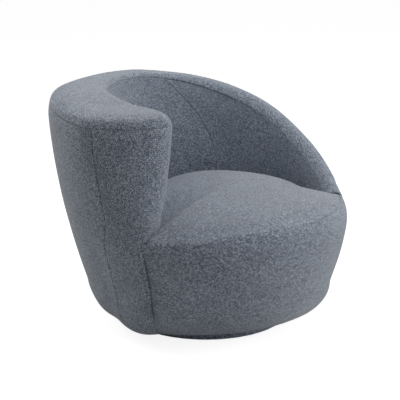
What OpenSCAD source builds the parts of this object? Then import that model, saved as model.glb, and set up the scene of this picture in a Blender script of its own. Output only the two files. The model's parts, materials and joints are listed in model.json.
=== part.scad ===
// Round swivel armchair with one high arm that winds round the back and sinks into the seat.
// Frame: the origin is on the swivel axis at floor level, +Z is up and the sitter faces -Y.
// Headings: a bearing of 0 points to -Y and grows towards +X. A "lap" angle counts the other
// way from the outer end of the arm head, past the back, to the low tail of the rim.

/* [Body] */
// Height of the arm and of the back
chair_h = 675; // [660:5:700]
// Radius of the shell at its top edge
shell_r = 458; // [450:2:470]
// How much the shell draws in towards the floor
shell_taper = 146; // [140:2:152]
// Height of the upholstered underside above the floor
floor_gap = 28; // [26:1:32]
// Radius of the rolled bottom edge of the round body
foot_round = 100; // [95:1:105]
// Radius of the rolled bottom edge of the arm front
head_foot_round = 56; // [50:1:62]
// Radius of the rounded top edge
top_round = 28; // [24:1:30]
// Crown across the middle of the arm top
top_crown = 5; // [2:1:8]

/* [Seat] */
// Height of the seat at its crown
seat_h = 393; // [388:1:400]
// Height of the seam between the seat top and the front band
seat_seam_h = 361; // [356:1:366]
// Radius of that seam
seat_seam_r = 400; // [396:1:404]
// Widest radius of the front band
drum_r = 417; // [412:1:422]
// How much the front band draws in towards the floor
drum_taper = 90; // [85:1:95]
// How far the seat dips where it meets the arm and the back
seat_tuck = 62; // [55:1:66]

/* [Arm head] */
// Distance of the head's tip from the swivel axis, at the top
tip_r = 296; // [288:2:304]
// Bearing of that tip
tip_bearing = -51.3; // [-54:0.5:-49]
// Bearing of the crease where the arm front meets the front band
crease_bearing = -58.5; // [-60:0.5:-57]
// How far the crease swings towards the front on its way down
crease_lean = 2; // [0:0.5:3]
// How far the arm front stands proud of the front band at the crease
crease_proud = 5; // [2:1:7]
// Bearing of the outer end of the head
head_bearing = -84; // [-86:1:-82]

/* [Padding and covers] */
// Thickness of the cover fabric
fabric_t = 1.6; // [1.2:0.1:2]
// Thickness of the foam on the inner back
back_foam_t = 26; // [20:1:30]
// Thickness of the foam on the arm front
arm_foam_t = 20; // [16:1:24]
// Thickness of the foam on the front band
front_foam_t = 23; // [18:1:26]
// Thickness of the wadding on the outer shell
wadding_t = 5.7; // [4:0.1:7]
// Thickness of the bent hardboard liners
liner_t = 3; // [2.5:0.5:4]

/* [Frame] */
// Thickness of the upright ribs
rib_t = 15; // [12:1:18]
// Thickness of the flat boards
board_t = 18; // [15:1:18]
// Thickness of the rail under the arm top
rail_t = 12; // [9:1:15]
// Depth of the padding over the seat ring at the seat's crown
seat_pad_h = 75; // [72:1:79]
// Outer radius of the seat ring
ring_r = 268; // [262:1:270]
// Width of one webbing strap
strap_w = 50; // [40:2:56]
// Thickness of one webbing strap
strap_t = 1.5; // [1:0.1:1.7]

/* [Swivel] */
// Radius of the plinth
plinth_r = 244; // [240:1:248]
// Height of a glide under the plinth
glide_h = 5; // [4:0.5:6]
// Side of the square swivel plates
plate_side = 240; // [230:2:250]
// Thickness of a swivel plate
plate_t = 2.5; // [2:0.1:3]
// Radius of the circle of balls
race_r = 94; // [90:1:98]
// Radius of one ball
ball_r = 4; // [3.5:0.1:4.2]
// Number of balls
ball_n = 24; // [18:1:26]
// Radius of the swivel pin
pin_r = 6; // [5:0.5:7]
// Radial clearance of every running fit
run_gap = 0.05; // [0.03:0.01:0.08]

/* [Hidden] */
// Still clearance between stacked layers
lay = 0.3;
// Room for the facets of the inner foam, which don't line up with those of its neighbours
facet_room = 3.4;
// How far the foams and covers of the walls stop below the top panel's seam
foam_drop = 1.3;
cover_drop = 0.9;
// Depth by which the top foam's flat side reaches below that seam
top_sink = 0.2;
// Side clearance between panels that meet at a seam
seam_gap = 0.6;
// Degrees of lap in one facet column of the shell
lap_step = 12;
// Lap angle at which the high rim has sunk to the seat
tail_lap = 216;
// Lap angle where the straight inner side of the arm begins
inner_lap = 8;
// Height at which the arm head has its seat-level plan
arm_low_z = seat_h - 3;
// Height below which the arm front lies on the round body
wrap_low_z = seat_h - 93;
// Underside of the seat ring
ring_z = seat_h - seat_pad_h - board_t;
// Height at which the front band is widest
band_wide_z = 300;
// Height of the rim at its tail
rim_low = seat_seam_h + 1;
// Bearing of the crease on the far side, where the shell ends
tail_bearing = head_bearing - tail_lap + 360;
// Lap angle from which the shell grows into the form of the front band
tail_grow = 160;
// Share of the arm front's outer half that lies outside the crease
crease_q = 0.6;
// Share of the outer half at which the shell cover is sewn to the arm front cover
seam_q = 0.16;
// Way the arm head's edge runs at its tip
tip_way = [sin(146), -cos(146)];
// How much further out the tip lies at seat level
tip_lean = 15;
// Reach of the head's outer curve from its outer end, and from its tip, at seat level and at the top
bow_out = [160, 90];
bow_tip = [105, 58];
// Reach of the head's inner curve from its tip, and from its inner end
bow_in_tip = 60;
bow_in_end = 80;
// Plan centre of the seat's crown, and of the seat ring
seat_c = [62, -44];
ring_c = [48, -22];

// Height of the rim, as a share of its fall, against lap angle
rim_curve = [[0, 0.994], [60, 1], [95, 1], [113, 0.955], [126, 0.898], [141, 0.802], [158, 0.639],
    [176, 0.393], [186, 0.265], [196, 0.147], [206, 0.061], [216, 0]];
// Radius of the inner side at the top, as a share of the shell radius, against lap angle
inner_curve = [[8, 0.502], [24, 0.555], [41, 0.622], [56, 0.657], [67, 0.69], [79, 0.731],
    [93, 0.769], [130, 0.806], [180, 0.832], [216, 0.845]];
// How far the inner back leans inwards at seat level
back_rake = 30;

// Depths of the layers under each surface
skin = [0, fabric_t];
wadding_d = [skin[1] + lay, skin[1] + lay + wadding_t];
shell_liner_d = [wadding_d[1] + lay, wadding_d[1] + lay + liner_t];
back_foam_d = [skin[1] + lay, skin[1] + lay + back_foam_t];
back_liner_d = [back_foam_d[1] + lay + facet_room, back_foam_d[1] + lay + facet_room + liner_t];
arm_foam_d = [skin[1] + lay, skin[1] + lay + arm_foam_t];
arm_liner_d = [arm_foam_d[1] + lay, arm_foam_d[1] + lay + liner_t];
front_foam_d = [skin[1] + lay, skin[1] + lay + front_foam_t];
front_liner_d = [front_foam_d[1] + lay, front_foam_d[1] + lay + liner_t];

// Heights of the stack from the floor to the seat
plinth_z = glide_h;
plinth_board_t = 12;
plinth_ring_h = 16;
plinth_top_z = plinth_z + 2 * plinth_board_t + plinth_ring_h;
lower_plate_z = plinth_top_z;
race_t = 4;
ball_z = lower_plate_z + plate_t + race_t + 2.5;
upper_plate_z = ball_z + 2.5 + race_t;
panel_z = upper_plate_z + plate_t;
panel_top_z = panel_z + board_t;
skirt_gap = 8;
skirt_w = 18;
skirt_r = plinth_r + skirt_gap + skirt_w;
panel_r = skirt_r + 16;
rib_in_r = plate_side / 2 * 1.375;
rib_screw_rs = [rib_in_r + 25, panel_r - 16];
skirt_edge = (skirt_r + seam_gap) / cos(lap_step / 2);
ring_top_z = ring_z + board_t;
web_top_z = ring_top_z + 2 * strap_t;
foam_z = web_top_z + lay;
front_top_z = foam_z - lay;
band_top_z = seat_seam_h - fabric_t - lay;
hole_at = plate_side / 2 - 20;

// Wood screws with countersunk heads, and their bores
screw_r = 2;
screw_bore = 2.02;
screw_head = [4.5, 3];
screw_sink = [4.8, 3.35];

// Small helpers
function mix(a, b, t) = a + (b - a) * t;
function clamp(x, lo, hi) = min(hi, max(lo, x));
function ease(x, lo, hi) = let (t = clamp((x - lo) / (hi - lo), 0, 1)) t * t * (3 - 2 * t);
function polar(r, bearing) = [r * sin(bearing), -r * cos(bearing)];
function unit(v) = v / norm(v);

// Smooth curve through a short table of [x, y] points
function cell_of(tab, x, i = 0) = (i >= len(tab) - 2 || x < tab[i + 1][0]) ? i : cell_of(tab, x, i + 1);
function slope_at(tab, i) = let (lo = max(0, i - 1), hi = min(len(tab) - 1, i + 1))
    (tab[hi][1] - tab[lo][1]) / (tab[hi][0] - tab[lo][0]);
function curve(tab, x0) = let (
        x = clamp(x0, tab[0][0], tab[len(tab) - 1][0]), i = cell_of(tab, x),
        h = tab[i + 1][0] - tab[i][0], t = (x - tab[i][0]) / h)
    (2 * pow(t, 3) - 3 * t * t + 1) * tab[i][1] + (pow(t, 3) - 2 * t * t + t) * h * slope_at(tab, i)
    + (3 * t * t - 2 * pow(t, 3)) * tab[i + 1][1] + (pow(t, 3) - t * t) * h * slope_at(tab, i + 1);

// Body surfaces
function rim_z(lap) = mix(rim_low, chair_h, curve(rim_curve, lap));
function shell_out(lap, z) = (shell_r - shell_taper * pow(1 - clamp(z, 0, chair_h) / chair_h, 1.78))
    * (1 - 0.045 * pow(clamp((lap - 70) / 146, 0, 1), 1.5));
function outer_r(lap, z) = let (low = min(z, seat_seam_h))
    shell_out(lap, z) + ease(lap, tail_grow, tail_lap) * (band_r(low) - shell_out(lap, low));
function high(z) = clamp((z - arm_low_z) / (chair_h - arm_low_z), 0, 1);
function inner_r(lap, z) = shell_r * curve(inner_curve, lap)
    - (1 - high(z)) * back_rake * clamp((lap - 20) / 60, 0, 1);
function band_r(z) = z < band_wide_z
    ? drum_r - drum_taper * pow((band_wide_z - max(0, z)) / band_wide_z, 1.45)
    : drum_r - (drum_r - seat_seam_r)
        * pow((min(z, seat_seam_h) - band_wide_z) / (seat_seam_h - band_wide_z), 2.2);

// Plan of the arm head at height z: two Bezier arcs, outer end to tip and tip to inner side
function rise(z) = pow(high(z), 0.6);
function tip_at(z) = polar(mix(tip_r + tip_lean, tip_r, rise(z)),
    mix(tip_bearing - 6.4, tip_bearing, rise(z)));
function head_start(z) = polar(outer_r(0, z), head_bearing);
function head_end(z) = polar(inner_r(inner_lap, z), head_bearing - inner_lap);
function head_arc(q, z) = let (tip = tip_at(z), along = polar(1, head_bearing + 90))
    q <= 1
    ? [head_start(z), head_start(z) + mix(bow_out[0], bow_out[1], high(z)) * along,
        tip - mix(bow_tip[0], bow_tip[1], high(z)) * tip_way, tip]
    : [tip, tip + bow_in_tip * tip_way, head_end(z) + bow_in_end * along, head_end(z)];
function bezier(p, t) = pow(1 - t, 3) * p[0] + 3 * pow(1 - t, 2) * t * p[1]
    + 3 * (1 - t) * t * t * p[2] + pow(t, 3) * p[3];
function head_curve(q, z) = bezier(head_arc(q, z), q <= 1 ? q : q - 1);
// Below the seat the head's outer half lies on the round body as far as the crease
function crease_line(z) = crease_bearing
    + crease_lean * clamp((wrap_low_z - z) / (wrap_low_z - floor_gap - foot_round), 0, 1);
function crease_at(z) = polar(band_r(z) + crease_proud, crease_line(z));
function head_wrap(q, z) = q <= crease_q
    ? polar(mix(outer_r(0, z), band_r(z) + crease_proud, q / crease_q),
        mix(head_bearing, crease_line(z), q / crease_q))
    : head_curve(q, arm_low_z)
        + (crease_at(z) - head_curve(crease_q, arm_low_z)) * (2 - q) / (2 - crease_q);
function head_plan(q, z) = mix(head_wrap(q, z), head_curve(q, z), ease(z, wrap_low_z, arm_low_z));

// Perimeter of the arm and back. q below 0 is the outer side at lap -q, q from 0 to 2 runs
// round the arm head, and q above 2 is the inner side at lap q + inner_lap - 2.
function edge(q, z, d) =
    q <= 0 ? polar(outer_r(-q, z) - d, head_bearing + q)
    : q >= 2 ? let (lap = q + inner_lap - 2) polar(inner_r(lap, z) + d, head_bearing - lap)
    : let (a = head_plan(max(0, q - 0.02), z), b = head_plan(min(2, q + 0.02), z), t = unit(b - a))
        head_plan(q, z) + d * [-t[1], t[0]];
function lap_of(q) = q <= 0 ? -q : q >= 2 ? q + inner_lap - 2 : mix(0, inner_lap, q / 2);
function point(xy, z) = [xy[0], xy[1], z];

// Round edge at the top, smaller where the band is narrow
function band_w(lap) = outer_r(lap, rim_z(lap)) - inner_r(lap, rim_z(lap));
function edge_round(lap) = min(top_round, 0.42 * band_w(lap));
function wall_top(lap) = rim_z(lap) - edge_round(lap);

// Rows of a wall from the underside, round the foot and up to the height "top"
foot_rows = [[0, 0], [0.34, 0.05], [0.72, 0.3], [0.93, 0.63], [1, 1]];
foot_n = len(foot_rows) - 1;
function foot_of(q) = q < 0 ? mix(head_foot_round, foot_round, ease(-q, 0, 36)) : head_foot_round;
function foot_z(k, d, foot) = floor_gap + d + (foot - d) * foot_rows[k][1];
function foot_pull(k, d, foot) = foot - (foot - d) * foot_rows[k][0];
function wall_z(k, n, d, top, foot) = k <= foot_n ? foot_z(k, d, foot)
    : mix(floor_gap + foot, top, (k - foot_n) / (n - foot_n));

// One point of a wall layer: column q, row k of n, depth d
function wall_point(q, k, n, d, top) = let (
        foot = foot_of(q), z = wall_z(k, n, d, top, foot), zr = max(z, floor_gap + foot))
    k == 0 ? point(unit(edge(q, zr, foot)) * skirt_edge, z)
    : point(edge(q, zr, k < foot_n ? foot_pull(k, d, foot) : d), z);
function wall_grid(qs, d, drop) = [for (q = qs) [for (k = [0:wall_n])
    wall_point(q, k, wall_n, d, wall_top(lap_of(q)) - drop)]];

// Top of the arm and back between the outer column qo and the inner column qi
function top_point(qo, qi, k, d, flat) = let (
        lap = lap_of(qo), r = edge_round(lap), z0 = wall_top(lap),
        o = edge(qo, z0, d), i = edge(qi, z0, d), w = norm(i - o), rr = max(0.5, r - d),
        near = min(rr, 0.45 * w),
        e = k == 0 ? 0 : k == 1 ? 0.3 * near : k == 2 ? near : k == 3 ? w / 2
            : k == 4 ? w - near : k == 5 ? w - 0.3 * near : w,
        ahead = qo > 0 ? norm(head_plan(1, z0) - (o + i) / 2) - d : chair_h,
        x = min(1, min(e, w - e) / rr), y = min(1, max(0.05, ahead) / rr))
    point(mix(o, i, clamp(e / w, 0, 1)), flat ? z0 - top_sink
        : z0 + rr * sqrt(1 - pow(1 - x, 2)) * sqrt(1 - pow(1 - y, 2)) + (k == 3 ? top_crown * y : 0));

// Solid between two grids of points, less the cells in which skip is true
module slab(outer, inner, skip = function (i, j) false) {
    n = len(outer);
    m = len(outer[0]);
    all = concat([for (c = outer) each c], [for (c = inner) each c]);
    function id(i, j, s) = s * n * m + i * m + j;
    function gone(i, j) = i < 0 || j < 0 || i > n - 2 || j > m - 2 || skip(i, j);
    faces = [for (i = [0:n - 2]) for (j = [0:m - 2]) if (!gone(i, j)) each let (
            a = id(i, j, 0), b = id(i + 1, j, 0), c = id(i + 1, j + 1, 0), d = id(i, j + 1, 0),
            e = id(i, j, 1), f = id(i + 1, j, 1), g = id(i + 1, j + 1, 1), h = id(i, j + 1, 1))
        concat([[a, d, c], [a, c, b], [e, f, g], [e, g, h]],
            gone(i - 1, j) ? [[a, e, h], [a, h, d]] : [],
            gone(i + 1, j) ? [[b, c, g], [b, g, f]] : [],
            gone(i, j - 1) ? [[a, b, f], [a, f, e]] : [],
            gone(i, j + 1) ? [[d, h, g], [d, g, c]] : [])];
    polyhedron(points = all, faces = faces);
}

// Solid of closed rings from a middle point above to a middle point below
module ringed(rings, above, below) {
    n = len(rings[0]);
    last = len(rings) - 1;
    all = concat([for (r = rings) each r], [above, below]);
    function id(k, i) = k * n + (i + n) % n;
    polyhedron(points = all, faces = [
        for (i = [0:n - 1]) [(last + 1) * n, id(0, i + 1), id(0, i)],
        for (k = [0:last - 1]) for (i = [0:n - 1]) each
            [[id(k, i), id(k, i + 1), id(k + 1, i + 1)], [id(k, i), id(k + 1, i + 1), id(k + 1, i)]],
        for (i = [0:n - 1]) [(last + 1) * n + 1, id(last, i), id(last, i + 1)]]);
}

// Column lists
function laps(from, to) = [for (b = [from:-lap_step:to]) -b];
head_qs = [seam_q, 0.32, 0.46, crease_q, 0.74, 0.87, 1, 1.2, 1.5, 1.75, 2];
outer_qs = concat(laps(tail_lap, 12), [0, seam_q]);
function inner_qs(from, to) = [for (b = [from:lap_step:to]) b - inner_lap + 2];
pair_qs = concat([for (b = [tail_lap:-lap_step:12]) [-b, b - inner_lap + 2]],
    [[0, 2], [0.25, 1.8], [0.45, 1.6], [0.64, 1.42], [0.8, 1.26], [0.9, 1.13], [0.96, 1.05]]);
wall_n = 9;

module shell_layer(qs, d, drop) {
    slab(wall_grid(qs, d[0], drop), wall_grid(qs, d[1], drop));
}

// Layer of the inner side from low_z up to the rim
inner_n = 4;
function inner_grid(qs, d, low_z, drop) = [for (q = qs) [for (k = [0:inner_n]) let (
        top = wall_top(lap_of(q)) - drop, z = mix(min(low_z, top - 8), top, k / inner_n))
    point(edge(q, z, d), z)]];
module inner_layer(qs, d, low_z, drop) {
    slab(inner_grid(qs, d[0], low_z, drop), inner_grid(qs, d[1], low_z, drop));
}

// Layer of the arm front: the columns inside the crease stop at the seat
head_rows = 11;
function head_grid(d, drop) = [for (i = [0:len(head_qs) - 1]) [for (k = [0:head_rows]) let (
        q = i == 0 ? head_qs[0] + 0.002 : head_qs[i], top = wall_top(lap_of(q)) - drop,
        foot = head_foot_round, z = k <= foot_n ? foot_z(k, d, foot) : k == 5 ? 0.62 * foam_z
            : k == 6 ? foam_z : k == 7 ? seat_seam_h : mix(arm_low_z, top, (k - 8) / (head_rows - 8)),
        zr = max(z, floor_gap + foot))
    k == 0 ? point(unit(edge(q, zr, foot)) * skirt_edge, z)
        : point(edge(q, zr, k < foot_n ? foot_pull(k, d, foot) : d), z)]];
module head_layer(d, drop) {
    slab(head_grid(d[0], drop), head_grid(d[1], drop), function (i, j) i >= 3 && j < 6);
}

// Layer of the front band between the two creases
function band_line(i, z) = mix(crease_line(z) + 0.15, tail_bearing - 0.15, i / 10);
band_qs = [for (i = [0:10]) band_line(i, seat_seam_h)];
function band_z(k, d) = k <= foot_n ? foot_z(k, d, foot_round)
    : k < 8 ? mix(floor_gap + foot_round, front_top_z, (k - foot_n) / 3)
    : mix(front_top_z, band_top_z, (k - 7) / 3);
function band_radius(k, d) = band_r(max(band_z(k, d), floor_gap + foot_round))
    - (k < foot_n ? foot_pull(k, d, foot_round) : d);
function band_grid(d, last) = [for (i = [0:10]) [for (k = [0:last]) let (z = band_z(k, d))
    point(polar(k == 0 ? skirt_edge : band_radius(k, d), band_line(i, z)), z)]];
module band_layer(d, last) {
    slab(band_grid(d[0], last), band_grid(d[1], last));
}

// Outline of the seat: round in front, then along the arm head and the inner back
seat_gap = 3;
head_gap = 0.8;
seat_laps = [for (b = [12:lap_step:tail_lap]) b];
band_step = band_qs[1] - band_qs[0];
function on_chord(r, bearing, way) = let (
    mid = (way > 0 ? band_qs[0] : band_qs[10]) + way * band_step / 2)
    polar(r * cos(band_step / 2) / cos(bearing - mid), bearing);
function seat_outline(d, z) = concat(
    [on_chord(band_r(z) - d, band_qs[10] - 2, -1)],
    [for (i = [9:-1:1]) polar(band_r(z) - d, band_qs[i])],
    [on_chord(band_r(z) - d, band_qs[0] + 3, 1)],
    [for (i = [4:len(head_qs) - 1]) edge(head_qs[i], z, -head_gap - d)],
    [for (b = seat_laps) polar(inner_r(b, z) - seat_gap - d, head_bearing - b)],
    [polar(inner_r(tail_lap, z) - d, tail_bearing - 1)]);
function reversed(v) = [for (i = [len(v) - 1:-1:0]) v[i]];
front_n = 11;
function seat_drop(i, n) = let (low = seat_h - seat_seam_h, tail = n - 1 - i)
    i < front_n ? low : i < front_n + 3 ? mix(low, seat_tuck, (i - front_n + 1) / 4)
    : tail < 3 ? mix(low, seat_tuck, (tail + 1) / 4) : seat_tuck;
function seat_ring(rho, d) = let (edge_line = seat_outline(d, seat_seam_h), n = len(edge_line))
    reversed([for (i = [0:n - 1])
        point(mix(seat_c, edge_line[i], rho), seat_h - d - seat_drop(i, n) * pow(rho, 2.4))]);
// Row of the seat's side: at height z in front, and a share of the way down along the walls
function seat_side(z, share, d) = let (
    a = seat_outline(d, z), b = seat_outline(d, seat_seam_h), n = len(a))
    reversed([for (i = [0:n - 1]) i < front_n ? point(a[i], z)
        : point(b[i], mix(seat_h - d - seat_drop(i, n), foam_z, share))]);

// Base
module glides() {
    color([0.12, 0.12, 0.13])
    for (a = [0:60:300]) rotate(a) translate([plinth_r - 40, 0, 0]) {
        cylinder(r1 = 11, r2 = 13, h = glide_h, $fn = 40);
        translate([0, 0, glide_h - 1]) cylinder(r = 1.5, h = plinth_board_t - 1, $fn = 24);
    }
}

module glide_holes() {
    for (a = [0:60:300]) rotate(a) translate([plinth_r - 40, 0, plinth_z - 1])
        cylinder(r = 1.5 + 0.02, h = plinth_board_t + 0.2, $fn = 24);
}

module plinth_screw_places() {
    for (a = [30:60:330]) rotate(a) translate([plinth_r - 15, 0, 0]) children();
}

module plinth_lower_board() {
    color([0.72, 0.58, 0.4]) difference() {
        translate([0, 0, plinth_z]) cylinder(r = plinth_r - 3, h = plinth_board_t, $fn = 96);
        glide_holes();
        translate([0, 0, plinth_z - 1]) cylinder(r = 40, h = plinth_board_t + 2, $fn = 64);
    }
}

module plinth_ring() {
    color([0.75, 0.6, 0.42]) translate([0, 0, plinth_z + plinth_board_t]) difference() {
        cylinder(r = plinth_r - 3, h = plinth_ring_h, $fn = 96);
        translate([0, 0, -1]) cylinder(r = plinth_r - 28, h = plinth_ring_h + 2, $fn = 96);
        plinth_screw_places() translate([0, 0, -1])
            cylinder(r = screw_bore, h = plinth_ring_h + 2, $fn = 24);
    }
}

module plinth_upper_board() {
    color([0.72, 0.58, 0.4]) translate([0, 0, plinth_top_z - plinth_board_t]) difference() {
        cylinder(r = plinth_r - 3, h = plinth_board_t, $fn = 96);
        translate([0, 0, -1]) cylinder(r = 22, h = plinth_board_t + 2, $fn = 48);
        plinth_screw_places() {
            translate([0, 0, -1]) cylinder(r = screw_bore, h = plinth_board_t + 2, $fn = 24);
            translate([0, 0, plinth_board_t - screw_sink[1] + 0.02])
                cylinder(r1 = screw_bore, r2 = screw_sink[0], h = screw_sink[1], $fn = 32);
        }
        for (x = [-1, 1]) for (y = [-1, 1]) translate([x * hole_at, y * hole_at, -1])
            cylinder(r = screw_bore, h = plinth_board_t + 2, $fn = 24);
    }
}

module plinth_screws() {
    color([0.6, 0.6, 0.62]) plinth_screw_places() {
        translate([0, 0, plinth_top_z - 26]) cylinder(r = screw_r, h = 25, $fn = 24);
        translate([0, 0, plinth_top_z - screw_head[1] - 0.1])
            cylinder(r1 = screw_r, r2 = screw_head[0], h = screw_head[1], $fn = 32);
    }
}

module plinth_cover() {
    in_r = plinth_r - 3 + 0.05;
    color([0.27, 0.31, 0.36]) rotate_extrude($fn = 96) polygon([
        [plinth_r - 26, plinth_z - fabric_t - 0.05], [in_r + fabric_t - 1, plinth_z - fabric_t - 0.05],
        [in_r + fabric_t, plinth_z - fabric_t + 1], [in_r + fabric_t, plinth_top_z + fabric_t - 1],
        [in_r + fabric_t - 1, plinth_top_z + fabric_t + 0.05],
        [plinth_r - 34, plinth_top_z + fabric_t + 0.05], [plinth_r - 34, plinth_top_z + 0.05],
        [in_r, plinth_top_z + 0.05],
        [in_r, plinth_z - 0.05], [plinth_r - 26, plinth_z - 0.05]]);
}

module plate_shape() {
    difference() {
        square(plate_side, center = true);
        for (x = [-1, 1]) for (y = [-1, 1]) translate([x * hole_at, y * hole_at]) circle(r = 3.2, $fn = 32);
    }
}

module lower_swivel_plate() {
    color([0.66, 0.67, 0.7]) difference() {
        union() {
            translate([0, 0, lower_plate_z]) linear_extrude(plate_t) plate_shape();
            translate([0, 0, lower_plate_z + plate_t - 0.5]) difference() {
                cylinder(r = race_r + 7, h = race_t + 0.5, $fn = 96);
                translate([0, 0, -1]) cylinder(r = race_r - 7, h = race_t + 3, $fn = 96);
            }
            translate([0, 0, lower_plate_z]) cylinder(r = 16, h = plate_t + 3, $fn = 48);
        }
        translate([0, 0, lower_plate_z - 1]) cylinder(r = pin_r + run_gap, h = plate_t + 6, $fn = 48);
        translate([0, 0, ball_z]) rotate_extrude($fn = 96) translate([race_r, 0])
            circle(r = ball_r + run_gap, $fn = 48);
    }
}

module lower_plate_screws() {
    color([0.6, 0.6, 0.62]) for (x = [-1, 1]) for (y = [-1, 1]) translate([x * hole_at, y * hole_at, 0]) {
        translate([0, 0, lower_plate_z - 20]) cylinder(r = screw_r, h = 23, $fn = 24);
        translate([0, 0, lower_plate_z + plate_t]) cylinder(r1 = 5, r2 = 4, h = 3, $fn = 32);
    }
}

// Ball cage, which turns half as far as the seat
module ball_cage() {
    color([0.85, 0.85, 0.8]) translate([0, 0, ball_z - 0.75]) difference() {
        cylinder(r = race_r + 6.5, h = 1.5, $fn = 96);
        translate([0, 0, -1]) cylinder(r = race_r - 6.5, h = 4, $fn = 96);
        for (i = [0:ball_n - 1]) rotate(i * 360 / ball_n) translate([race_r, 0, -1])
            cylinder(r = ball_r + run_gap, h = 4, $fn = 40);
    }
}

module swivel_balls() {
    color([0.8, 0.8, 0.83]) for (i = [0:ball_n - 1]) rotate(i * 360 / ball_n)
        translate([race_r, 0, ball_z]) rotate_extrude($fn = 32) difference() {
            circle(r = ball_r, $fn = 32);
            translate([-2 * ball_r, -ball_r]) square(2 * ball_r);
        }
}

// Turning half of the swivel
module upper_swivel_plate() {
    color([0.66, 0.67, 0.7]) difference() {
        union() {
            translate([0, 0, upper_plate_z]) linear_extrude(plate_t) plate_shape();
            translate([0, 0, upper_plate_z - race_t]) difference() {
                cylinder(r = race_r + 7, h = race_t + 0.5, $fn = 96);
                translate([0, 0, -1]) cylinder(r = race_r - 7, h = race_t + 1, $fn = 96);
            }
        }
        translate([0, 0, upper_plate_z - 1]) cylinder(r = pin_r, h = plate_t + 2, $fn = 48);
        translate([0, 0, ball_z]) rotate_extrude($fn = 96) translate([race_r, 0])
            circle(r = ball_r + run_gap, $fn = 48);
    }
}

module swivel_pin() {
    color([0.55, 0.56, 0.6]) {
        translate([0, 0, lower_plate_z - run_gap - 0.1])
            cylinder(r = pin_r, h = panel_z - lower_plate_z + run_gap + 0.1, $fn = 48);
        translate([0, 0, lower_plate_z - run_gap - 4]) cylinder(r = pin_r + 7, h = 4, $fn = 48);
        translate([0, 0, lower_plate_z + plate_t + 3 + run_gap])
            cylinder(r = pin_r + 4, h = upper_plate_z - lower_plate_z - plate_t - 3 - run_gap, $fn = 48);
    }
}

module upper_plate_bolts() {
    color([0.6, 0.6, 0.62]) for (x = [-1, 1]) for (y = [-1, 1]) translate([x * hole_at, y * hole_at, 0]) {
        translate([0, 0, upper_plate_z - 1]) cylinder(r = 3, h = plate_t + board_t - 1, $fn = 32);
        translate([0, 0, upper_plate_z - 3.5]) cylinder(r = 5.5, h = 3.5, $fn = 32);
    }
}

module tee_nuts() {
    color([0.7, 0.66, 0.5]) for (x = [-1, 1]) for (y = [-1, 1])
        translate([x * hole_at, y * hole_at, 0]) difference() {
            union() {
                translate([0, 0, panel_top_z - 10]) cylinder(r = 4, h = 10, $fn = 32);
                translate([0, 0, panel_top_z]) cylinder(r = 9, h = 1.5, $fn = 40);
            }
            translate([0, 0, panel_top_z - 11]) cylinder(r = 3, h = 14, $fn = 32);
        }
}

// Turning frame
module base_panel() {
    color([0.74, 0.6, 0.42]) difference() {
        translate([0, 0, panel_z]) cylinder(r = panel_r, h = board_t, $fn = 96);
        for (x = [-1, 1]) for (y = [-1, 1]) translate([x * hole_at, y * hole_at, panel_z - 1])
            cylinder(r = 4, h = board_t + 2, $fn = 32);
        panel_screw_holes();
    }
}

module skirt_ring() {
    color([0.72, 0.58, 0.4]) translate([0, 0, floor_gap + 1]) difference() {
        cylinder(r = skirt_r, h = panel_z - floor_gap - 1, $fn = 96);
        translate([0, 0, -1]) cylinder(r = plinth_r + skirt_gap, h = panel_z, $fn = 96);
    }
}

module seat_ring_board() {
    color([0.74, 0.6, 0.42]) translate([ring_c[0], ring_c[1], ring_z]) difference() {
        cylinder(r = ring_r, h = board_t, $fn = 96);
        translate([0, 0, -1]) cylinder(r = ring_r - 46, h = board_t + 2, $fn = 96);
        ring_screw_places() {
            translate([0, 0, -1]) cylinder(r = screw_bore, h = board_t + 2, $fn = 24);
            translate([0, 0, board_t - screw_sink[1] + 0.02])
                cylinder(r1 = screw_bore, r2 = screw_sink[0], h = screw_sink[1], $fn = 32);
        }
    }
}

function ring_reach(r, bearing) = let (u = polar(1, bearing), along = u * ring_c)
    along + sqrt(along * along + r * r - ring_c * ring_c);
back_rib_laps = [for (b = [36:24:192]) b];
front_rib_cols = [1, 3, 5, 7, 9];
rib_bearings = concat([for (b = back_rib_laps) head_bearing - b], [for (i = front_rib_cols) band_qs[i]]);
module ring_screw_places() {
    for (b = rib_bearings) translate(polar(ring_reach(ring_r - 20, b), b) - ring_c) children();
}

module ring_screws() {
    color([0.6, 0.6, 0.62]) translate([ring_c[0], ring_c[1], 0]) ring_screw_places() {
        translate([0, 0, ring_z - 22]) cylinder(r = screw_r, h = 22 + board_t - 1, $fn = 24);
        translate([0, 0, ring_top_z - screw_head[1] - 0.1])
            cylinder(r1 = screw_r, r2 = screw_head[0], h = screw_head[1], $fn = 32);
    }
}

module rib_screw_places() {
    for (b = rib_bearings) for (r = rib_screw_rs) translate(polar(r, b)) children();
}

module rib_screws() {
    color([0.6, 0.6, 0.62]) rib_screw_places() {
        translate([0, 0, panel_z + 1]) cylinder(r = screw_r, h = board_t + 24, $fn = 24);
        translate([0, 0, panel_z + 0.1])
            cylinder(r1 = screw_head[0], r2 = screw_r, h = screw_head[1], $fn = 32);
    }
}

module panel_screw_holes() {
    rib_screw_places() {
        translate([0, 0, panel_z - 1]) cylinder(r = screw_bore, h = board_t + 27, $fn = 24);
        translate([0, 0, panel_z - 0.02])
            cylinder(r1 = screw_sink[0], r2 = screw_bore, h = screw_sink[1], $fn = 32);
    }
}

module dust_cover() {
    color([0.15, 0.15, 0.16]) translate([0, 0, panel_z - 0.8]) difference() {
        cylinder(r = plinth_r + skirt_gap - 1, h = 0.75, $fn = 96);
        translate([0, 0, -1]) cylinder(r = plate_side * 0.73, h = 3, $fn = 96);
    }
}

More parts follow.
